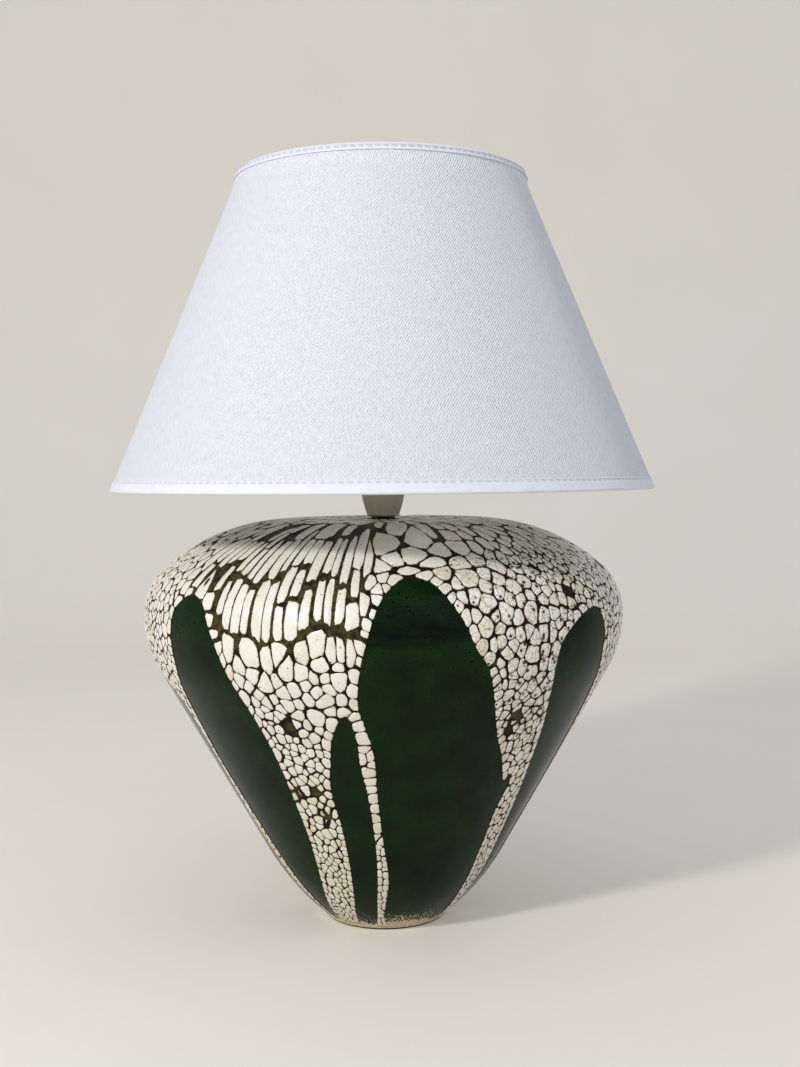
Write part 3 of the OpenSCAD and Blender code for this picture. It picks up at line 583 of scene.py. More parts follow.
def apart(some, others):
    """Distances between places, as shares of the islands' size there: round among cobbles, and
    the longer of the two ways among strips and petals, which end bluntly"""
    scale, wide, tall, square = ((of[some, None] + of[None, others]) / 2
                                 for of in (radius, width, length, blunt))
    x = wrapped(a[some, None] - a[None, others]) * scale / wide
    y = (v[some, None] - v[None, others]) * scale / tall
    return (1 - square) * np.sqrt(x * x + y * y) + square * np.maximum(np.abs(x), np.abs(y))


# A place is kept where those before it leave it room.
kept = np.zeros(0, int)
for start in range(0, len(usable), 256):
    new = usable[start:start + 256]
    new = new[apart(new, kept).min(1, initial=9) > close[new]]
    gaps, chosen = apart(new, new), []
    for k in range(len(new)):
        if (gaps[k, chosen] > close[new[k]]).all():
            chosen.append(k)
    kept = np.concatenate([kept, new[chosen]])
a, v, width, length, radius, blunt = (values[kept] for values in (a, v, width, length, radius, blunt))
is_bead = kept < bead_count
count = len(a)

# Islands keep together in clusters: the cracks between clusters open wide, those inside stay thin.
everyone, heads = np.arange(count), [0]
for k in draw.permutation(count):
    if apart(np.array([k]), np.array(heads)).min() > 1.75:
        heads.append(k)
near, cluster = [], []
for start in range(0, count, 500):
    some = everyone[start:start + 500]
    gaps = apart(some, everyone)
    cluster.append(gaps[:, heads].argmin(1))
    gaps[some - start, some] = 99
    near.append(np.argpartition(gaps, 18, 1)[:, :18])
near, cluster = np.concatenate(near), np.concatenate(cluster)


def unit(x, y):
    return x / np.hypot(x, y), y / np.hypot(x, y)


# Each island is bounded by straight lines: half way to its neighbours less half a crack, the seat
# on the dome and the glaze line at the foot. Both sides of a crack get the same numbers.
pair_low, pair_high = np.minimum(near, everyone[:, None]), np.maximum(near, everyone[:, None])
chance = np.modf(np.abs(np.sin(pair_low * 12.9898 + pair_high * 78.233)) * 43758.5453)[0]
dx, dy = wrapped(a[near] - a[:, None]) * radius[:, None], (v[near] - v[:, None]) * radius[:, None]
wide, tall, square = ((of[near] + of[:, None]) / 2 for of in (width, length, blunt))
nx, ny = unit(dx / wide ** 2, dy / tall ** 2)
sideways = np.abs(dx) / wide > np.abs(dy) / tall
nx, ny = unit(nx + square * (np.where(sideways, np.sign(dx), 0) - nx),
              ny + square * (np.where(sideways, 0, np.sign(dy)) - ny))
weight = draw.uniform(-0.09, 0.09, count)
half = (nx * dx + ny * dy) * (0.5 + weight[:, None] - weight[near])
s = run_to(v)
crack = np.where(cluster[near] != cluster[:, None], 0.22 + 0.6 * chance ** 2, 0.05 + 0.15 * chance)
crack *= np.interp(s, [0, 60, 200, 330, 365, 400], [0.6, 0.75, 1.0, 1.15, 2.4, 3.0])[:, None]
ends = strips_at(a, v)[:, None] * (np.abs(ny) > 0.75)
crack += ends * np.where(chance > 0.5, 0.2 + 1.6 * chance ** 2, 0.05)

# Places where the white drew back: degrees, level, reach in mm, and how many mm at its middle.
# In the bare places no island is left.
open_places = [(-31, 225, 8, 1.6), (-20, 228, 8, 1.5), (-39, 228, 6, 1.0), (-7, 268, 10, 2.0),
               (-10, 258, 8, 1.4), (-25, 262, 10, 0.9), (-38, 262, 8, 0.9), (34, 171, 6, 2.5),
               (-22, 167, 5, 2.5), (-28, 118, 5, 3), (-20, 119, 5, 3), (-19, 101, 5, 3),
               (24, 209, 4, 1.6), (118, 240, 9, 1.8), (232, 210, 7, 1.6), (196, 150, 6, 2.5),
               (140, 228, 8, 1.4)]
bare_places, bare_reach = [(-22, 167), (-28, 118), (-20, 119), (-19, 101), (34, 171), (196, 150)], 3.6


def openness(a, v, in_mm):
    """How far the glaze drew back round the open places, in mm or from 0 to 1 for each"""
    total = np.zeros(len(a))
    for at_a, at_z, reach, more in open_places:
        total += (more if in_mm else 1) * np.exp(-(away(a, v, at_a, at_z) / reach) ** 2)
    return total


crack += openness(a, v, True)[:, None]
olive = np.zeros(len(outside))
wall_a, wall_v = point_a[outside], point_v[outside]
olive[outside] = openness(wall_a, wall_v, False) + strips_at(wall_a, wall_v)
write(vessel.data, "olive", np.clip(olive, 0, 1))
limits = [np.stack([nx, ny, np.maximum(half - crack, 0.2)], -1)]
edge_line = up_wall(6.8 + ripple(a))
for direction, reach in ((1, top_v - v), (-1, v - edge_line)):
    limits.append(np.stack([0 * a, direction + 0 * a, np.maximum(reach * radius - 0.3, 0.3)], -1)[:, None])
limits = np.concatenate(limits, 1)

# The outline is a soft minimum of those lines along 16 directions, stretched as the island is.
sides, far = 16, 60.0
turn = turns(sides)
tilt = np.where(is_bead, 0, draw.normal(0, 0.09, count))[:, None]
sx, sy = width[:, None] / 2 * np.cos(turn), length[:, None] / 2 * np.sin(turn)
sx, sy = sx * np.cos(tilt) - sy * np.sin(tilt), sx * np.sin(tilt) + sy * np.cos(tilt)
toward = limits[:, :, :1] * sx[:, None] + limits[:, :, 1:2] * sy[:, None]


def to_border(some):
    """How far from an island's middle the panels' border is, as a share of each direction"""
    share = np.zeros((len(some), sides))
    for _ in range(7):
        at_a, at_v = (at[some, None] + side[some] * share / radius[some, None]
                      for at, side in ((a, sx), (v, sy)))
        index = near_border(at_a.ravel(), at_v.ravel())[0].reshape(at_a.shape)
        room = -past_border(at_a, at_v, index) * radius[some, None] - 0.12
        share = np.maximum(share + room / np.hypot(sx[some], sy[some]), 0.05)
    return share


at_border = np.nonzero(near_border(a, v)[1] < np.maximum(width, length))[0]
border_share = np.full((count, sides), far)
border_share[at_border] = to_border(at_border)
wobble = 1 + 0.035 * sum(np.sin(k * turn + draw.uniform(0, 6.28, (count, 1))) for k in (2, 3, 5))
rounding = np.where(is_bead, 7.0, draw.uniform(7, 16, count) + 2 * blunt)[:, None, None]
lost = (draw.random(count) < 0.012) & ~is_bead
for at_a, at_z in bare_places:
    lost |= away(a, v, at_a, at_z) < bare_reach

# The rings of an island: mm in from its outline, mm off the wall, share of the reach, and how
# clean of brown. The first is sunk in the dark glaze. Large islands stand a little higher.
size = np.minimum(width, length)
higher = 0.12 * (size[:, None] / 7 - 1).clip(-0.8, 1)
points, rim = [], []
for inset, height, inner, clean in (
        (0.0, -0.75, 1, 0.0), (0.0, -0.08, 1, 0.25), (0.28, 0.2, 1, 0.85), (0.9, 0.34, 1, 1.0),
        (1.6, 0.38, 1, 1.0), (1.6, 0.39, 0.66, 1.0), (1.6, 0.4, 0.33, 1.0)):
    inset = (inset * np.clip(size / 6, 0.45, 1.6))[:, None]
    room = np.maximum(limits[:, :, 2] - inset, 0.1 * limits[:, :, 2])[..., None]
    share = room / np.where(toward > 1e-3, toward, 1e-3 * room)
    at_edge = np.maximum(border_share - inset / np.hypot(sx, sy), 0.1 * border_share)[:, None]
    share = np.concatenate([np.minimum(share, far), np.minimum(at_edge, far)], 1)
    reach = (share ** -rounding).sum(1) ** (-1 / rounding[:, 0]) * wobble * inner
    at_v = v[:, None] + sy * reach / radius[:, None]
    lifted = on_wall(at_v, height + (height > 0) * higher)
    points.append(turned_out(a[:, None] + sx * reach / radius[:, None], *lifted))
    rim.append(np.full((count, sides), clean))
centre_a, centre_v = (at[:, None] + (side * reach).mean(1, keepdims=True) / radius[:, None]
                      for at, side in ((a, sx), (v, sy)))
points.append(turned_out(centre_a, *on_wall(centre_v, 0.41 + higher)))
rim.append(np.ones((count, 1)))
points, rim = np.concatenate(points, 1), np.concatenate(rim, 1)
tone = draw.normal(0, 0.3, (count, 1)) * (1 - 0.6 * strips_at(a, v))[:, None]
tone = tone + 0.8 * (1 - ease(s, 60, 230))[:, None] + 0 * rim
holed = hump(a, 44, 0.42) * ease(s, 150, 215) * (1 - ease(s, 318, 345))
holed += 0.8 * hump(a, 215, 0.35) * ease(s, 150, 215) * (1 - ease(s, 300, 330))
holed = np.clip(holed + 0.25 * (1 - ease(s, 330, 345)), 0, 1)[:, None] + 0 * rim

# White glaze, thick and opaque: milk white to cream with a soft satin shine, brown where it thins
# to its rim, and in places with pinholes some 5 mm apart and hair cracks, stained brown.
coat, add, place = material("white_crawled_glaze")
rim_value, tone_value, holed_value = (add("Attribute", attribute_name=name).outputs["Fac"]
                                      for name in ("rim", "tone", "holed"))
cloud = add("TexNoise", Vector=place, Scale=1000 / 9, Detail=3)
grain = add("TexNoise", Vector=place, Scale=1000 / 1.6, Detail=2)
cream = add("Math", tone_value, add("MapRange", cloud, 0.3, 0.7, -0.5, 0.5))
colour = add("ValToRGB", add("MapRange", cream, -0.9, 1.6, 0, 1), stops=(
    (0.0, "#f3f2ec"), (0.4, "#efece0"), (1.0, "#ddd0b2")))
browned = add("Math", rim_value, add("MapRange", grain, 0.3, 0.7, -0.2, 0.2))
edge = add("ValToRGB", browned, stops=(
    (0.15, "#2a1a10"), (0.42, "#6e5236"), (0.66, "#c9bb9c"), (0.86, "#ffffff")))
colour = add("Mix", 1.0, colour, edge, data_type="RGBA", blend_type="MULTIPLY")
pits = add("TexVoronoi", Vector=place, Scale=1000 / 5.5)
wider = add("Math", holed_value, 0.19, operation="MULTIPLY")
pits = add("Math", pits, wider, operation="SUBTRACT")
pits = add("Math", pits, add("MapRange", grain, 0.3, 0.7, -0.03, 0.03))
hairs = add("TexVoronoi", Vector=place, Scale=1000 / 4.4, feature="DISTANCE_TO_EDGE")
hairs = add("Math", hairs, add("MapRange", grain, 0.3, 0.7, -0.012, 0.012))
hairs = add("Math", add("MapRange", hairs, 0.015, 0.04, 0.8, 0),
            add("MapRange", holed_value, 0.2, 0.7, 0, 1), operation="MULTIPLY")
pit = add("MapRange", pits, 0.0, 0.05, 0, 1)
halo = add("Math", add("MapRange", pits, 0.02, 0.16, 0.75, 0), holed_value, operation="MULTIPLY")
for share, stain in ((hairs, "#6d5539"), (halo, "#8f7556")):
    colour = add("Mix", share, colour, linear(stain), data_type="RGBA")
colour = add("Mix", pit, linear("#1c130d"), colour, data_type="RGBA")
height = add("Math", add("Math", cloud, 0.8, operation="MULTIPLY"),
             add("Math", pit, 0.5, operation="MULTIPLY"))
add("OutputMaterial", add(
    "BsdfPrincipled", Base_Color=colour, Roughness=add("MapRange", cloud, 0.3, 0.7, 0.2, 0.34),
    IOR=1.52, Coat_Weight=0.25, Normal=add("Bump", Height=height, Distance=0.00025)))

# Small islands do without the inner rings. Each of eight sectors of the vessel is one object.
sectors, small_length, centre = 8, 13, 7 * sides
sector = np.floor((wrapped(a) + math.pi) / (2 * math.pi) * sectors).astype(int) % sectors
for number in range(sectors):
    island_points, island_faces, island_values, start = [], [], [], 0
    for rings_used, chosen in ((range(4), length <= small_length), (range(7), length > small_length)):
        chosen = np.nonzero((sector == number) & ~lost & chosen)[0]
        used = np.concatenate([np.arange(sides) + sides * ring for ring in rings_used] + [[centre]])
        last, apex = len(used) - 1 - sides + np.arange(sides), np.full(sides, len(used) - 1)
        starts = start + np.arange(len(chosen))[:, None, None] * len(used)
        island_faces += (starts + grid_faces(len(rings_used), sides)[None]).reshape(-1, 4).tolist()
        fan = np.stack([last, last[0] + (np.arange(sides) + 1) % sides, apex], -1)
        island_faces += (starts + fan[None]).reshape(-1, 3).tolist()
        island_points.append(points[chosen][:, used].reshape(-1, 3))
        island_values.append(np.stack([part[chosen][:, used].ravel() for part in (rim, tone, holed)]))
        start += len(chosen) * len(used)
    mesh = bpy.data.meshes.new(f"glaze_islands_{number + 1}")
    mesh.from_pydata((np.concatenate(island_points) / 1000).tolist(), [], island_faces)
    mesh.shade_smooth()
    for name, values in zip(("rim", "tone", "holed"), np.concatenate(island_values, 1)):
        write(mesh, name, values)
    mesh.materials.append(coat)
    hand_over(linked(mesh.name, mesh), "base")


# Felt disc under the foot: a disc of pressed grey-green wool felt, cut out and glued on, its edge
# rounded and a little furry.
def finish_of(name, colours, size, roughness, bump, stretch=(1, 1, 1), **values):
    """A procedural finish: colour and roughness that vary with noise of a size in mm, and a bump"""
    made, add, place = material(name)
    placed = add("Mapping", Vector=place, Scale=stretch)
    cloud = add("TexNoise", Vector=placed, Scale=1000 / size, Detail=3)
    grain = add("TexNoise", Vector=placed, Scale=5000 / size, Detail=2)
    add("OutputMaterial", add(
        "BsdfPrincipled", Roughness=add("MapRange", grain, 0.3, 0.7, *roughness),
        Base_Color=add("ValToRGB", cloud, stops=((0.32, colours[0]), (0.68, colours[1]))),
        Normal=add("Bump", Height=grain, Distance=bump / 1000), **values))
    return made


def coat_node(coat, *names):
    """Gives CAD nodes a material"""
    for name in names:
        for held in nodes[name].material_slots:
            held.link = "OBJECT"
            held.material = coat


def lathe(name, section, columns, coat, closed=True, groove=0):
    """A turned piece from a section of (radius, level) in mm, counter-clockwise, less a groove"""
    section = np.asarray(section, float)
    turn = turns(columns)
    points = turned_out(turn, section[:, :1] - groove, section[:, 1:2] + 0 * turn)
    return mesh_object(name, points, grid_faces(len(section), columns, closed), coat)


# Felt takes the light without any shine. A faint pale sheen at its edge shows the loose fibres.
felt_coat = finish_of("pressed_wool_felt", ("#20231f", "#34382f"), 2.5, (0.9, 1.0), 0.25, Sheen_Weight=0.4)
turn = np.radians(np.linspace(-90, 90, 7))
edge = np.stack([44.8 + 0.7 * np.cos(turn), 0.75 + 0.74 * np.sin(turn)], 1)
section = np.concatenate([[(0, 0.01), (20, 0.02), (38, 0.01)], edge, [(38, 1.47), (20, 1.5), (0, 1.5)]])
felt = lathe("felt_disc", section, 160, felt_coat, closed=False)
hand_over(felt, "base", "felt_pad")

# Clamp under the floor and on the dome: stock parts that a hollow rod of zinc-plated steel with a
# fine thread holds together, namely a rubber gasket, a pressed washer, turned brass nuts and a
# fibre washer. The grommet in the inlet is moulded rubber too.

# Rubber is black and dull, with hardly a grain.
coat_node(finish_of("black_rubber", ("#0d0d0d", "#191918"), 3, (0.62, 0.8), 0.05),
          "lower_gasket", "cable_grommet")
# Zinc plate is a cool, slightly clouded grey metal, with a soft shine.
coat_node(finish_of("zinc_plated_steel", ("#a9adb3", "#c3c6c9"), 4, (0.28, 0.42), 0.02, Metallic=1.0),
          "clamp_washer", "cap_grub_screw", "terminal_screws")
# Turned brass is warm and bright, with fine marks of the tool round it.
brass = finish_of("turned_brass", ("#b08d43", "#c9a95c"), 3, (0.22, 0.38), 0.03, (1, 1, 9), Metallic=1.0)
coat_node(brass, "lower_nut", "terminal_blocks")
# The nut under the cap is brass painted almost black brown and half dull: painted shade, so that
# it reads as the dark gap under the cap. Fibre is dark brown and dry, like hard card.
coat_node(finish_of("brass_painted_dark_as_shade", ("#1c1610", "#31271a"), 2, (0.4, 0.6), 0.03, Metallic=1.0), "upper_nut")
coat_node(finish_of("vulcanised_fibre", ("#241a15", "#392b22"), 2, (0.6, 0.8), 0.05), "fibre_washer")
# The rod's thread has a pitch of 1 mm: bright crests and darker grooves round the zinc.
thread, add, place = material("zinc_plated_thread")
half_pitch = 0.0005
ridge = add("Math", add("SeparateXYZ", place).outputs[2], half_pitch, operation="PINGPONG")
ridge = add("MapRange", ridge, 0, half_pitch, 0, 1)
grain = add("TexNoise", Vector=place, Scale=1000 / 3, Detail=2)
add("OutputMaterial", add(
    "BsdfPrincipled", Base_Color=add("ValToRGB", ridge, stops=((0.1, "#7e8288"), (0.7, "#c0c3c7"))),
    Roughness=add("MapRange", grain, 0.3, 0.7, 0.3, 0.45), Metallic=1.0,
    Normal=add("Bump", Height=ridge, Distance=half_pitch)))
coat_node(thread, "threaded_rod")

# Lampholder: a satin grey moulded cap that screws onto the rod, a sleeve with an outer thread and
# a flange for the shade, a porcelain core, a rolled brass screw shell and two spring contacts.

# The moulding is a warm pale grey with an even, soft shine and no grain to speak of.
grey = finish_of("satin_grey_moulding", ("#d2cab3", "#dbd4bf"), 14, (0.5, 0.62), 0.03)
coat_node(grey, "holder_cap", "shade_ring")
# Unglazed porcelain is off-white, close-grained and half dull. Contact bronze is coppery, with
# the even shine of rolled strip.
coat_node(finish_of("unglazed_porcelain", ("#d8d3c6", "#e6e2d8"), 6, (0.45, 0.6), 0.04), "holder_core")
coat_node(finish_of("contact_bronze", ("#a9683c", "#c08454"), 3, (0.3, 0.45), 0.02, Metallic=1.0),
          "centre_contact", "side_contact")


def threaded(name, section, coat, first, last, pitch, depth):
    """A turned piece from a section of (radius, level, cut). Where cut is 1, a rounded thread of a
    depth is cut, which fades in and out at the levels first and last"""
    columns = 96
    level, cut = np.array(section)[:, 1:2], np.array(section)[:, 2:]
    ridge = 0.5 + 0.5 * np.sin(2 * math.pi * level / pitch - turns(columns))
    ridge = ridge * ease(level, first, first + pitch) * (1 - ease(level, last - pitch, last))
    return lathe(name, section, columns, coat, groove=depth * ridge * cut)


# Pitches in mm: the shade ring's thread, and that of every 27 mm screw cap.
holder_pitch, cap_pitch = 2.5, 3.62
section = [(13.75, 320, 0), (15.35, 320, 0), (15.35, 326.8, 0), (15.5, 327, 0), (19.5, 327, 0),
           (19.8, 327.3, 0), (19.8, 333, 0), (24.7, 333, 0), (25, 333.3, 0), (25, 335.7, 0),
           (24.7, 336, 0), (19.8, 336, 0)]
section += [(19.8, z, 1) for z in np.arange(336.4, 364.3, 0.4)]
section += [(18.8, 365, 0), (17.5, 365, 0), (17.3, 364.8, 0), (17.3, 331, 0), (13.75, 331, 0)]
sleeve = threaded("holder_sleeve_threaded", section, grey, 336.6, 364.6, holder_pitch, 0.9)
hand_over(sleeve, "base", "holder_sleeve")

shell_z = np.arange(336.0, 357.2, 0.5)
section = [(7.5, 334.6, 0), (13.3, 334.6, 0), (13.8, 335.1, 0)] + [(13.95, z, 1) for z in shell_z]
section += [(14.1, 357.4, 0), (14.0, 357.6, 0), (13.6, 357.6, 0)]
section += [(13.55, z, 1) for z in shell_z[::-1]] + [(13.4, 335.3, 0), (13.1, 335.0, 0), (7.5, 335.0, 0)]
shell = threaded("screw_shell_rolled", section, brass, 336.0, 357.4, cap_pitch, 0.3)
hand_over(shell, "base", "screw_shell")

# Shade frame: a stamped fitter ring, three arms and a wire in each edge, of round steel wire,
# welded together and powder-coated white. Each weld is a small smooth bead.

# Powder coat is a warm white with a dull, faintly pebbled skin.
white_wire = finish_of("white_powder_coat", ("#e2e1dc", "#eeede9"), 2, (0.4, 0.55), 0.04)
coat_node(white_wire, "fitter_ring", "fitter_arm_1", "fitter_arm_2", "fitter_arm_3",
          "lower_wire", "upper_wire")
bead_rows, bead_columns = 9, 14
turn = turns(bead_columns)
up = np.radians(np.linspace(-90, 90, bead_rows))[:, None]
ball = np.stack([np.cos(up) * np.cos(turn), np.cos(up) * np.sin(turn), np.sin(up) + 0 * turn],
                -1).reshape(-1, 3)
points, faces = [], []
for k in range(3):
    way = math.radians(90 + 120 * k)
    for at_r, level, wide, tall in ((27.6, 335.6, 2.6, 0.9), (193.9, 322.45, 1.5, 1.75)):
        bead = ball * (wide, 2.1, tall) * (1 + 0.06 * np.sin(5 * ball[:, :1] + k))
        x, y = bead[:, 0] + at_r, bead[:, 1]
        points.append(np.stack([x * math.cos(way) - y * math.sin(way),
                                x * math.sin(way) + y * math.cos(way), bead[:, 2] + level], 1))
        faces.append(grid_faces(bead_rows, bead_columns) + (len(points) - 1) * len(ball))
welds = mesh_object("arm_welds", np.concatenate(points), np.concatenate(faces), white_wire)
hand_over(welds, "shade")

# Shade lining and cover: white cotton twill laminated to a stiff film, cut flat as a ring sector
# and rolled to a cone with a glued lap at the back. The twill's ribs therefore lean more and more
# round the shade. Its sizes are in mm, with h from the lower edge.

# The film is a plain warm white, smooth and dull.
coat_node(finish_of("white_lining_film", ("#e6e5e0", "#efeeea"), 3, (0.5, 0.62), 0.03), "shade_liner")
shade_low = 1000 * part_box("shade_cover")[0].z - 0.6
shade_r, shade_lean, shade_h = 200.0, (200.0 - 104.5) / 230, 230.0
cone_share = shade_lean / math.hypot(1, shade_lean)


def shade_face(a, h, inset):
    """Points of the shade's cone, inset mm inside its outer face. The cloth swells out a little
    over the turned-in edge at the top, as the photograph's outline shows."""
    swell = 1.9 * ease(h, 214, 226) * np.clip(1 - inset / 2.2, 0, 1)
    return turned_out(a, shade_r - shade_lean * h - inset + swell, shade_low + h)


def cloth_uv(mesh, shift=0.0):
    """A UV map with each point's place in mm on the flat cut cloth"""
    co = points_of(mesh)
    corner = np.zeros(len(mesh.loops), int)
    mesh.loops.foreach_get("vertex_index", corner)
    turn = np.arctan2(co[:, 0], -co[:, 1])[corner]
    face = np.repeat(np.arange(len(mesh.polygons)), [len(face.vertices) for face in mesh.polygons])
    across = np.zeros(len(mesh.polygons))
    np.maximum.at(across, face, turn)
    turn = np.where((across[face] > 3) & (turn < 0), turn + 2 * math.pi, turn) + shift
    out = np.hypot(co[:, 0], co[:, 1])[corner] / cone_share
    flat = np.stack([out * np.sin(cone_share * turn), -out * np.cos(cone_share * turn)], 1)
    mesh.uv_layers.new(name="flat_cloth").data.foreach_set("uv", flat.ravel())


# Cotton twill is cool white and dull, with slanting ribs crossed by yarns, and slubs that make
# them uneven. Real ribs are finer: at 1.44 mm they are drawn as coarse as they need to be to
# show, and the yarns at 1 mm. The map is in mm, so these need no scale.
twill, add, place = material("white_cotton_twill")
rib_half, yarn_half, lean = 0.72, 0.5, math.radians(63)
flat = add("UVMap", uv_map="flat_cloth")
part = add("SeparateXYZ", flat).outputs
across = add("Math", part[0], math.sin(lean), operation="MULTIPLY")
along = add("Math", part[1], math.cos(lean), operation="MULTIPLY")
rib = add("Math", across, along, operation="SUBTRACT")
rib = add("Math", rib, rib_half, operation="PINGPONG")
yarn = add("Math", part[1], yarn_half, operation="PINGPONG")
drawn_out = add("Mapping", Vector=flat, Scale=(0.001, 0.0002, 1))
slub = add("TexNoise", Vector=drawn_out, Scale=1000 / 1.2, Detail=3)
height = add("MapRange", rib, 0, rib_half, 0, 1)
for more in ([yarn, 0, yarn_half, 0, 0.4], [slub, 0.3, 0.7, -0.4, 0.4]):
    height = add("Math", height, add("MapRange", *more))
# The colour darkens from the ribs' crests down into their grooves and between the yarns: painted shade in
# the weave.
colour = add("ValToRGB", add("MapRange", height, 0, 1.4, 0, 1), stops=(
    (0.0, "#d6daea"), (0.55, "#e9ecf7"), (1.0, "#f3f5fd")))
add("OutputMaterial", add(
    "BsdfPrincipled", Base_Color=colour, Roughness=0.85, Sheen_Weight=0.25, Sheen_Roughness=0.5,
    Normal=add("Bump", Height=height, Distance=0.00036)))

rows, columns, cloth_out, cloth_in = 26, 256, 0.6, 1.4
turn = turns(columns, -math.pi)
levels = np.concatenate([np.linspace(0.6, 212, rows - 7), np.linspace(216, shade_h - 0.6, 7)])[:, None]
points = np.concatenate([shade_face(turn, levels + 0 * turn, cloth_out),
                         shade_face(turn, levels[::-1] + 0 * turn, cloth_in)])
cover = mesh_object("shade_cloth", points, grid_faces(2 * rows, columns, closed=True), twill)
cloth_uv(cover.data)
hand_over(cover, "shade", "shade_cover")

# The lap's free end lies 0.45 mm proud: (mm round the shade, mm off the cloth).
lap_w = 12
steps = np.array([(0, 0.0), (0.3, 0.3), (0.9, 0.42), (6, 0.45), (11.1, 0.42), (11.7, 0.3), (lap_w, 0.0),
                  (lap_w, -0.1), (0, -0.1)])
shift = (steps[None, :, 0] - lap_w / 2) / (shade_r - shade_lean * levels)
points = shade_face(math.pi + shift, levels + 0 * shift, cloth_out - steps[None, :, 1])
ends = [list(range(len(steps)))[::-1], list(range((rows - 1) * len(steps), rows * len(steps)))]
lap = mesh_object("shade_lap", points, grid_faces(rows, len(steps)).tolist() + ends, twill)
cloth_uv(lap.data, -2 * math.pi)
hand_over(lap, "shade")

# Bindings: strips of finer white cotton folded round the wires at both edges and edge-stitched
# through the cloth. The stitches draw the cloth in a little.

# Plain cotton is cool white and dull, softly clouded where it is folded and darker in the low parts
# of its weave, and greyer along its stitches and free edges: these darker parts are painted shade.
# Its weave is drawn as a grain of 0.7 mm, coarser than real, so that it shows.
plain, add, place = material("white_cotton_binding")
weave = add("TexNoise", Vector=place, Scale=1000 / 0.7, Detail=2)
fold = add("TexNoise", Vector=place, Scale=1000 / 9, Detail=3)
weave_half, fold_half = (add("Math", part, 0.5, operation="MULTIPLY") for part in (weave, fold))
cotton = add("ValToRGB", add("Math", weave_half, fold_half), stops=(
    (0.3, "#e1e4f0"), (0.7, "#eef0f9")))
painted_hem_shade = add("Attribute", attribute_name="painted_hem_shade").outputs["Fac"]
colour = add("Mix", painted_hem_shade, cotton, linear("#9ca0b4"), data_type="RGBA")
add("OutputMaterial", add(
    "BsdfPrincipled", Base_Color=colour, Roughness=0.8, Sheen_Weight=0.2, Sheen_Roughness=0.5,
    Normal=add("Bump", Height=weave, Distance=0.00012)))


def binding(name, node, edge, way, leg, stitch_h, stitches):
    """A folded strip round an edge at height edge, its legs going way, stitched at stitch_h from
    the edge. Its profile is (mm inside the shade's outer face, mm from the edge)"""
    profile = [
        (0.3, leg), (0.02, leg - 0.1), (-0.1, leg - 0.4), (-0.06, stitch_h + 0.9),
        (0.0, stitch_h + 0.55), (0.05, stitch_h + 0.25), (0.08, stitch_h), (0.05, stitch_h - 0.25),
        (-0.05, stitch_h - 0.55), (-0.25, stitch_h - 1.0), (-0.1, stitch_h * 0.6), (0.12, stitch_h * 0.4),
        (-0.3, 2.0), (-0.15, 1.35), (0.3, 0.7), (0.95, 0.2), (1.9, 0.0), (3.1, 0.0), (4.5, 0.0),
        (5.35, 0.2), (5.95, 0.7), (6.15, 1.5), (6.15, 3.4), (6.15, 5.2), (5.85, 5.35), (5.6, 5.2),
        (5.57, 3.4), (5.55, 1.7), (5.2, 0.9), (4.5, 0.6), (3.1, 0.6), (1.9, 0.6), (1.1, 0.9),
        (0.6, 1.8), (0.6, stitch_h * 0.5), (0.6, stitch_h), (0.6, leg), (0.5, leg + 0.05)]
    inset, up = (np.array(side, float)[:, None] for side in zip(*profile))
    turn = turns(stitches * 8, -math.pi)
    pulled = np.exp(-((up - stitch_h) / 0.55) ** 2) * (inset < 0.2)
    # dark is painted shade: grey in the stitch grooves, strongest at each stitch, and a faint line along the
    # free edges.
    dark = pulled * (0.1 + 0.8 * (0.5 + 0.5 * np.cos(turn * stitches)) ** 1.5)
    dark[[0, 1, -1]] = 0.08
    pulled = pulled * (0.34 + 0.28 * np.cos(turn * stitches))
    ease_off = 0.1 * np.sin(turn * 17 + 1) * np.sin(turn * 5) * (inset < 0.2) * ease(up, 0, 2)
    face = shade_face(turn, edge + way * up + 0 * turn, inset + pulled + np.abs(ease_off))
    made = mesh_object(name, face, grid_faces(len(profile), face.shape[1], closed=True), plain)
    write(made.data, "painted_hem_shade", dark.ravel())
    hand_over(made, "shade", node)
    return made


low_count, top_count = 220, 120
low_binding = binding("lower_hem", "lower_binding", -1.2, 1, 8.9, 7.5, low_count)
top_binding = binding("upper_hem", "upper_binding", shade_h, -1, 5.7, 3.3, top_count)

# Stitches: spun white cotton thread, sewn round both edges by machine. Each stitch is a small
# rounded bead that dips into the cloth at both ends.

# Thread is a little whiter than the cloth, with a soft shine, so that each stitch stands out.
stitch_coat = finish_of("white_sewing_thread", ("#dcdee8", "#f4f5fa"), 0.8, (0.55, 0.7), 0.08)


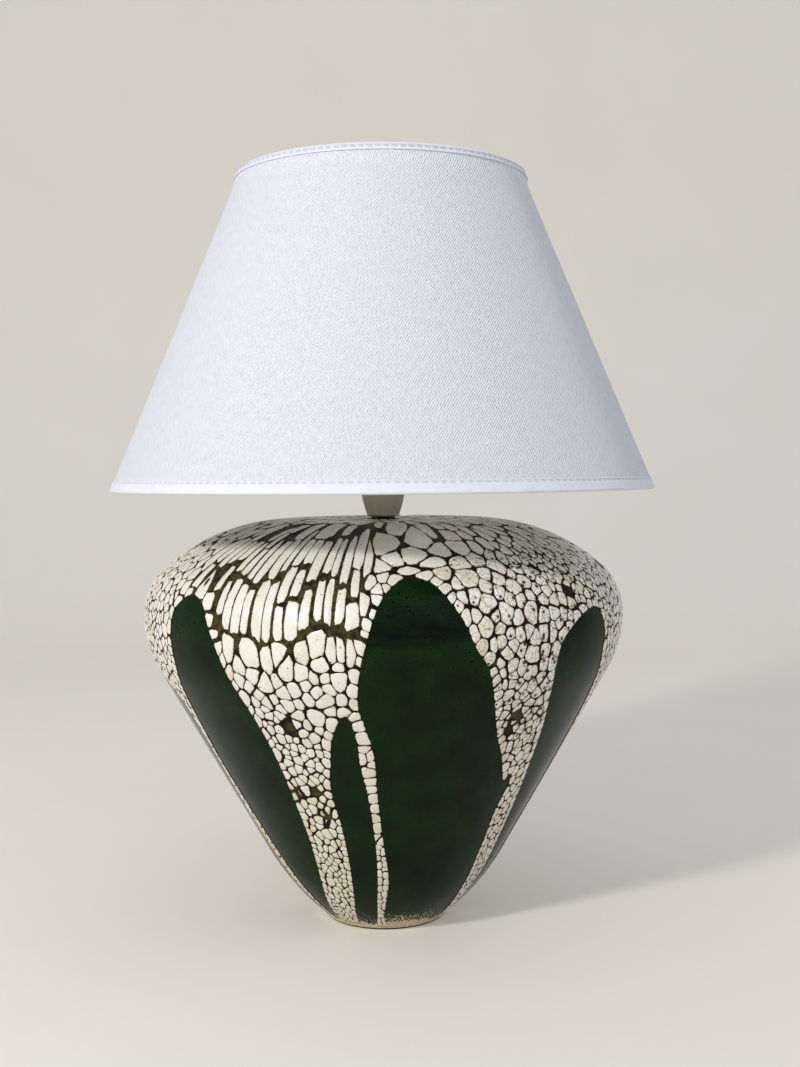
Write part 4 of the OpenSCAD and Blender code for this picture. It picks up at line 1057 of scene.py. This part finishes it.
def stitch_ring(name, h, stitches, long, thick):
    """A ring of stitches made by Geometry Nodes from one stitch, standing on the shade at height h"""
    rows, columns = 7, 6
    along = np.linspace(-1, 1, rows)[:, None]
    fat = np.sqrt(np.maximum(1 - along ** 4, 0.02)) * thick / 2
    turn = turns(columns)
    one = np.stack([along * long / 2 + 0 * turn, 0.12 * np.abs(along) ** 3 - 0.8 * fat * np.cos(turn),
                    fat * np.sin(turn)], -1)
    ends = [list(range(columns))[::-1], list(range((rows - 1) * columns, rows * columns))]
    mesh = bpy.data.meshes.new(name)
    mesh.from_pydata((one.reshape(-1, 3) / 1000).tolist(), [], grid_faces(rows, columns).tolist() + ends)
    mesh.shade_smooth()
    made = linked(name, mesh)
    tree = bpy.data.node_groups.new(name + "_ring", "GeometryNodeTree")
    for label, kind in (("Stitch", "Geometry"), ("Count", "Int"), ("Radius", "Float"),
                        ("Level", "Float"), ("Thread", "Material")):
        tree.interface.new_socket(label, in_out="INPUT", socket_type="NodeSocket" + kind)
    tree.interface.new_socket("Ring", in_out="OUTPUT", socket_type="NodeSocketGeometry")
    add = partial(add_node, tree)
    given = add("NodeGroupInput").outputs
    circle = add("GeometryNodeMeshCircle", Vertices=given["Count"], Radius=given["Radius"])
    lift = add("CombineXYZ", Z=given["Level"])
    raised = add("GeometryNodeSetPosition", Geometry=circle, Offset=lift)
    step = add("Math", 2 * math.pi, given["Count"], operation="DIVIDE")
    angle = add("Math", add("GeometryNodeInputIndex"), step, operation="MULTIPLY")
    spin = add("CombineXYZ", Z=add("Math", angle, math.pi / 2))
    copies = add("GeometryNodeInstanceOnPoints",
                 Points=raised, Instance=given["Stitch"], Rotation=spin)
    real = add("GeometryNodeRealizeInstances", copies)
    coated = add("GeometryNodeSetMaterial", Geometry=real, Material=given["Thread"])
    add("NodeGroupOutput", coated)
    ring = made.modifiers.new("ring", "NODES")
    ring.node_group = tree
    values = {"Count": stitches, "Radius": float(np.hypot(*shade_face(0.0, h, 0.26)[:2])) / 1000,
              "Level": (shade_low + h) / 1000, "Thread": stitch_coat}
    for socket in tree.interface.items_tree:
        if socket.name in values and socket.in_out == "INPUT":
            ring[socket.identifier] = values[socket.name]
    graph = bpy.context.evaluated_depsgraph_get()
    made.data = bpy.data.meshes.new_from_object(made.evaluated_get(graph), depsgraph=graph)
    made.modifiers.clear()
    hand_over(made, "shade")
    return made


low_stitches = stitch_ring("lower_stitches", 6.3, low_count, 3.7, 0.75)
top_stitches = stitch_ring("upper_stitches", shade_h - 3.3, top_count, 2.9, 0.8)

# Bulb: an opal globe on a white moulded housing, light sources on a pressed plate inside, a
# driver board in the neck, and a nickel-plated screw cap with a glass insulator and contact.

# The globe is milk white with the even, soft shine of frosted plastic. The housing is duller.
coat_node(finish_of("opal_polycarbonate", ("#ebeae5", "#f0efeb"), 18, (0.24, 0.28), 0.002), "bulb_globe")
coat_node(finish_of("white_moulding", ("#e3e2dd", "#eceae6"), 10, (0.35, 0.45), 0.02), "bulb_housing")
# The plate is pale brushed metal, the board green lacquer with a slight shine.
coat_node(finish_of("pressed_aluminium", ("#b9bcbe", "#cfd1d3"), 2, (0.3, 0.45), 0.02, Metallic=1.0),
          "led_plate")
coat_node(finish_of("green_solder_resist", ("#1f5a30", "#2c6e3d"), 2, (0.3, 0.4), 0.03), "driver_board")
# Nickel is a warm, bright grey metal with clear highlights. The insulator is black and glassy.
nickel = finish_of("nickel_plate", ("#b5b4b0", "#cbcac6"), 3, (0.2, 0.34), 0.02, Metallic=1.0)
coat_node(nickel, "bulb_contact")
coat_node(finish_of("black_glass", ("#050505", "#0e0e0f"), 3, (0.1, 0.2), 0.01), "bulb_insulator")
section = [(10.55, 342.2, 0), (12.15, 342.2, 0), (13.0, 342.9, 0), (13.15, 343.4, 0)]
section += [(13.15, z, 1) for z in np.arange(344.5, 360.2, 0.45)]
section += [(13.15, 361, 0), (12.62, 361, 0), (12.62, 343.5, 0), (12.1, 342.7, 0), (10.55, 342.6, 0)]
cap = threaded("bulb_cap_threaded", section, nickel, 344.4, 360.4, cap_pitch, 0.5)
hand_over(cap, "bulb", "bulb_screw_cap")
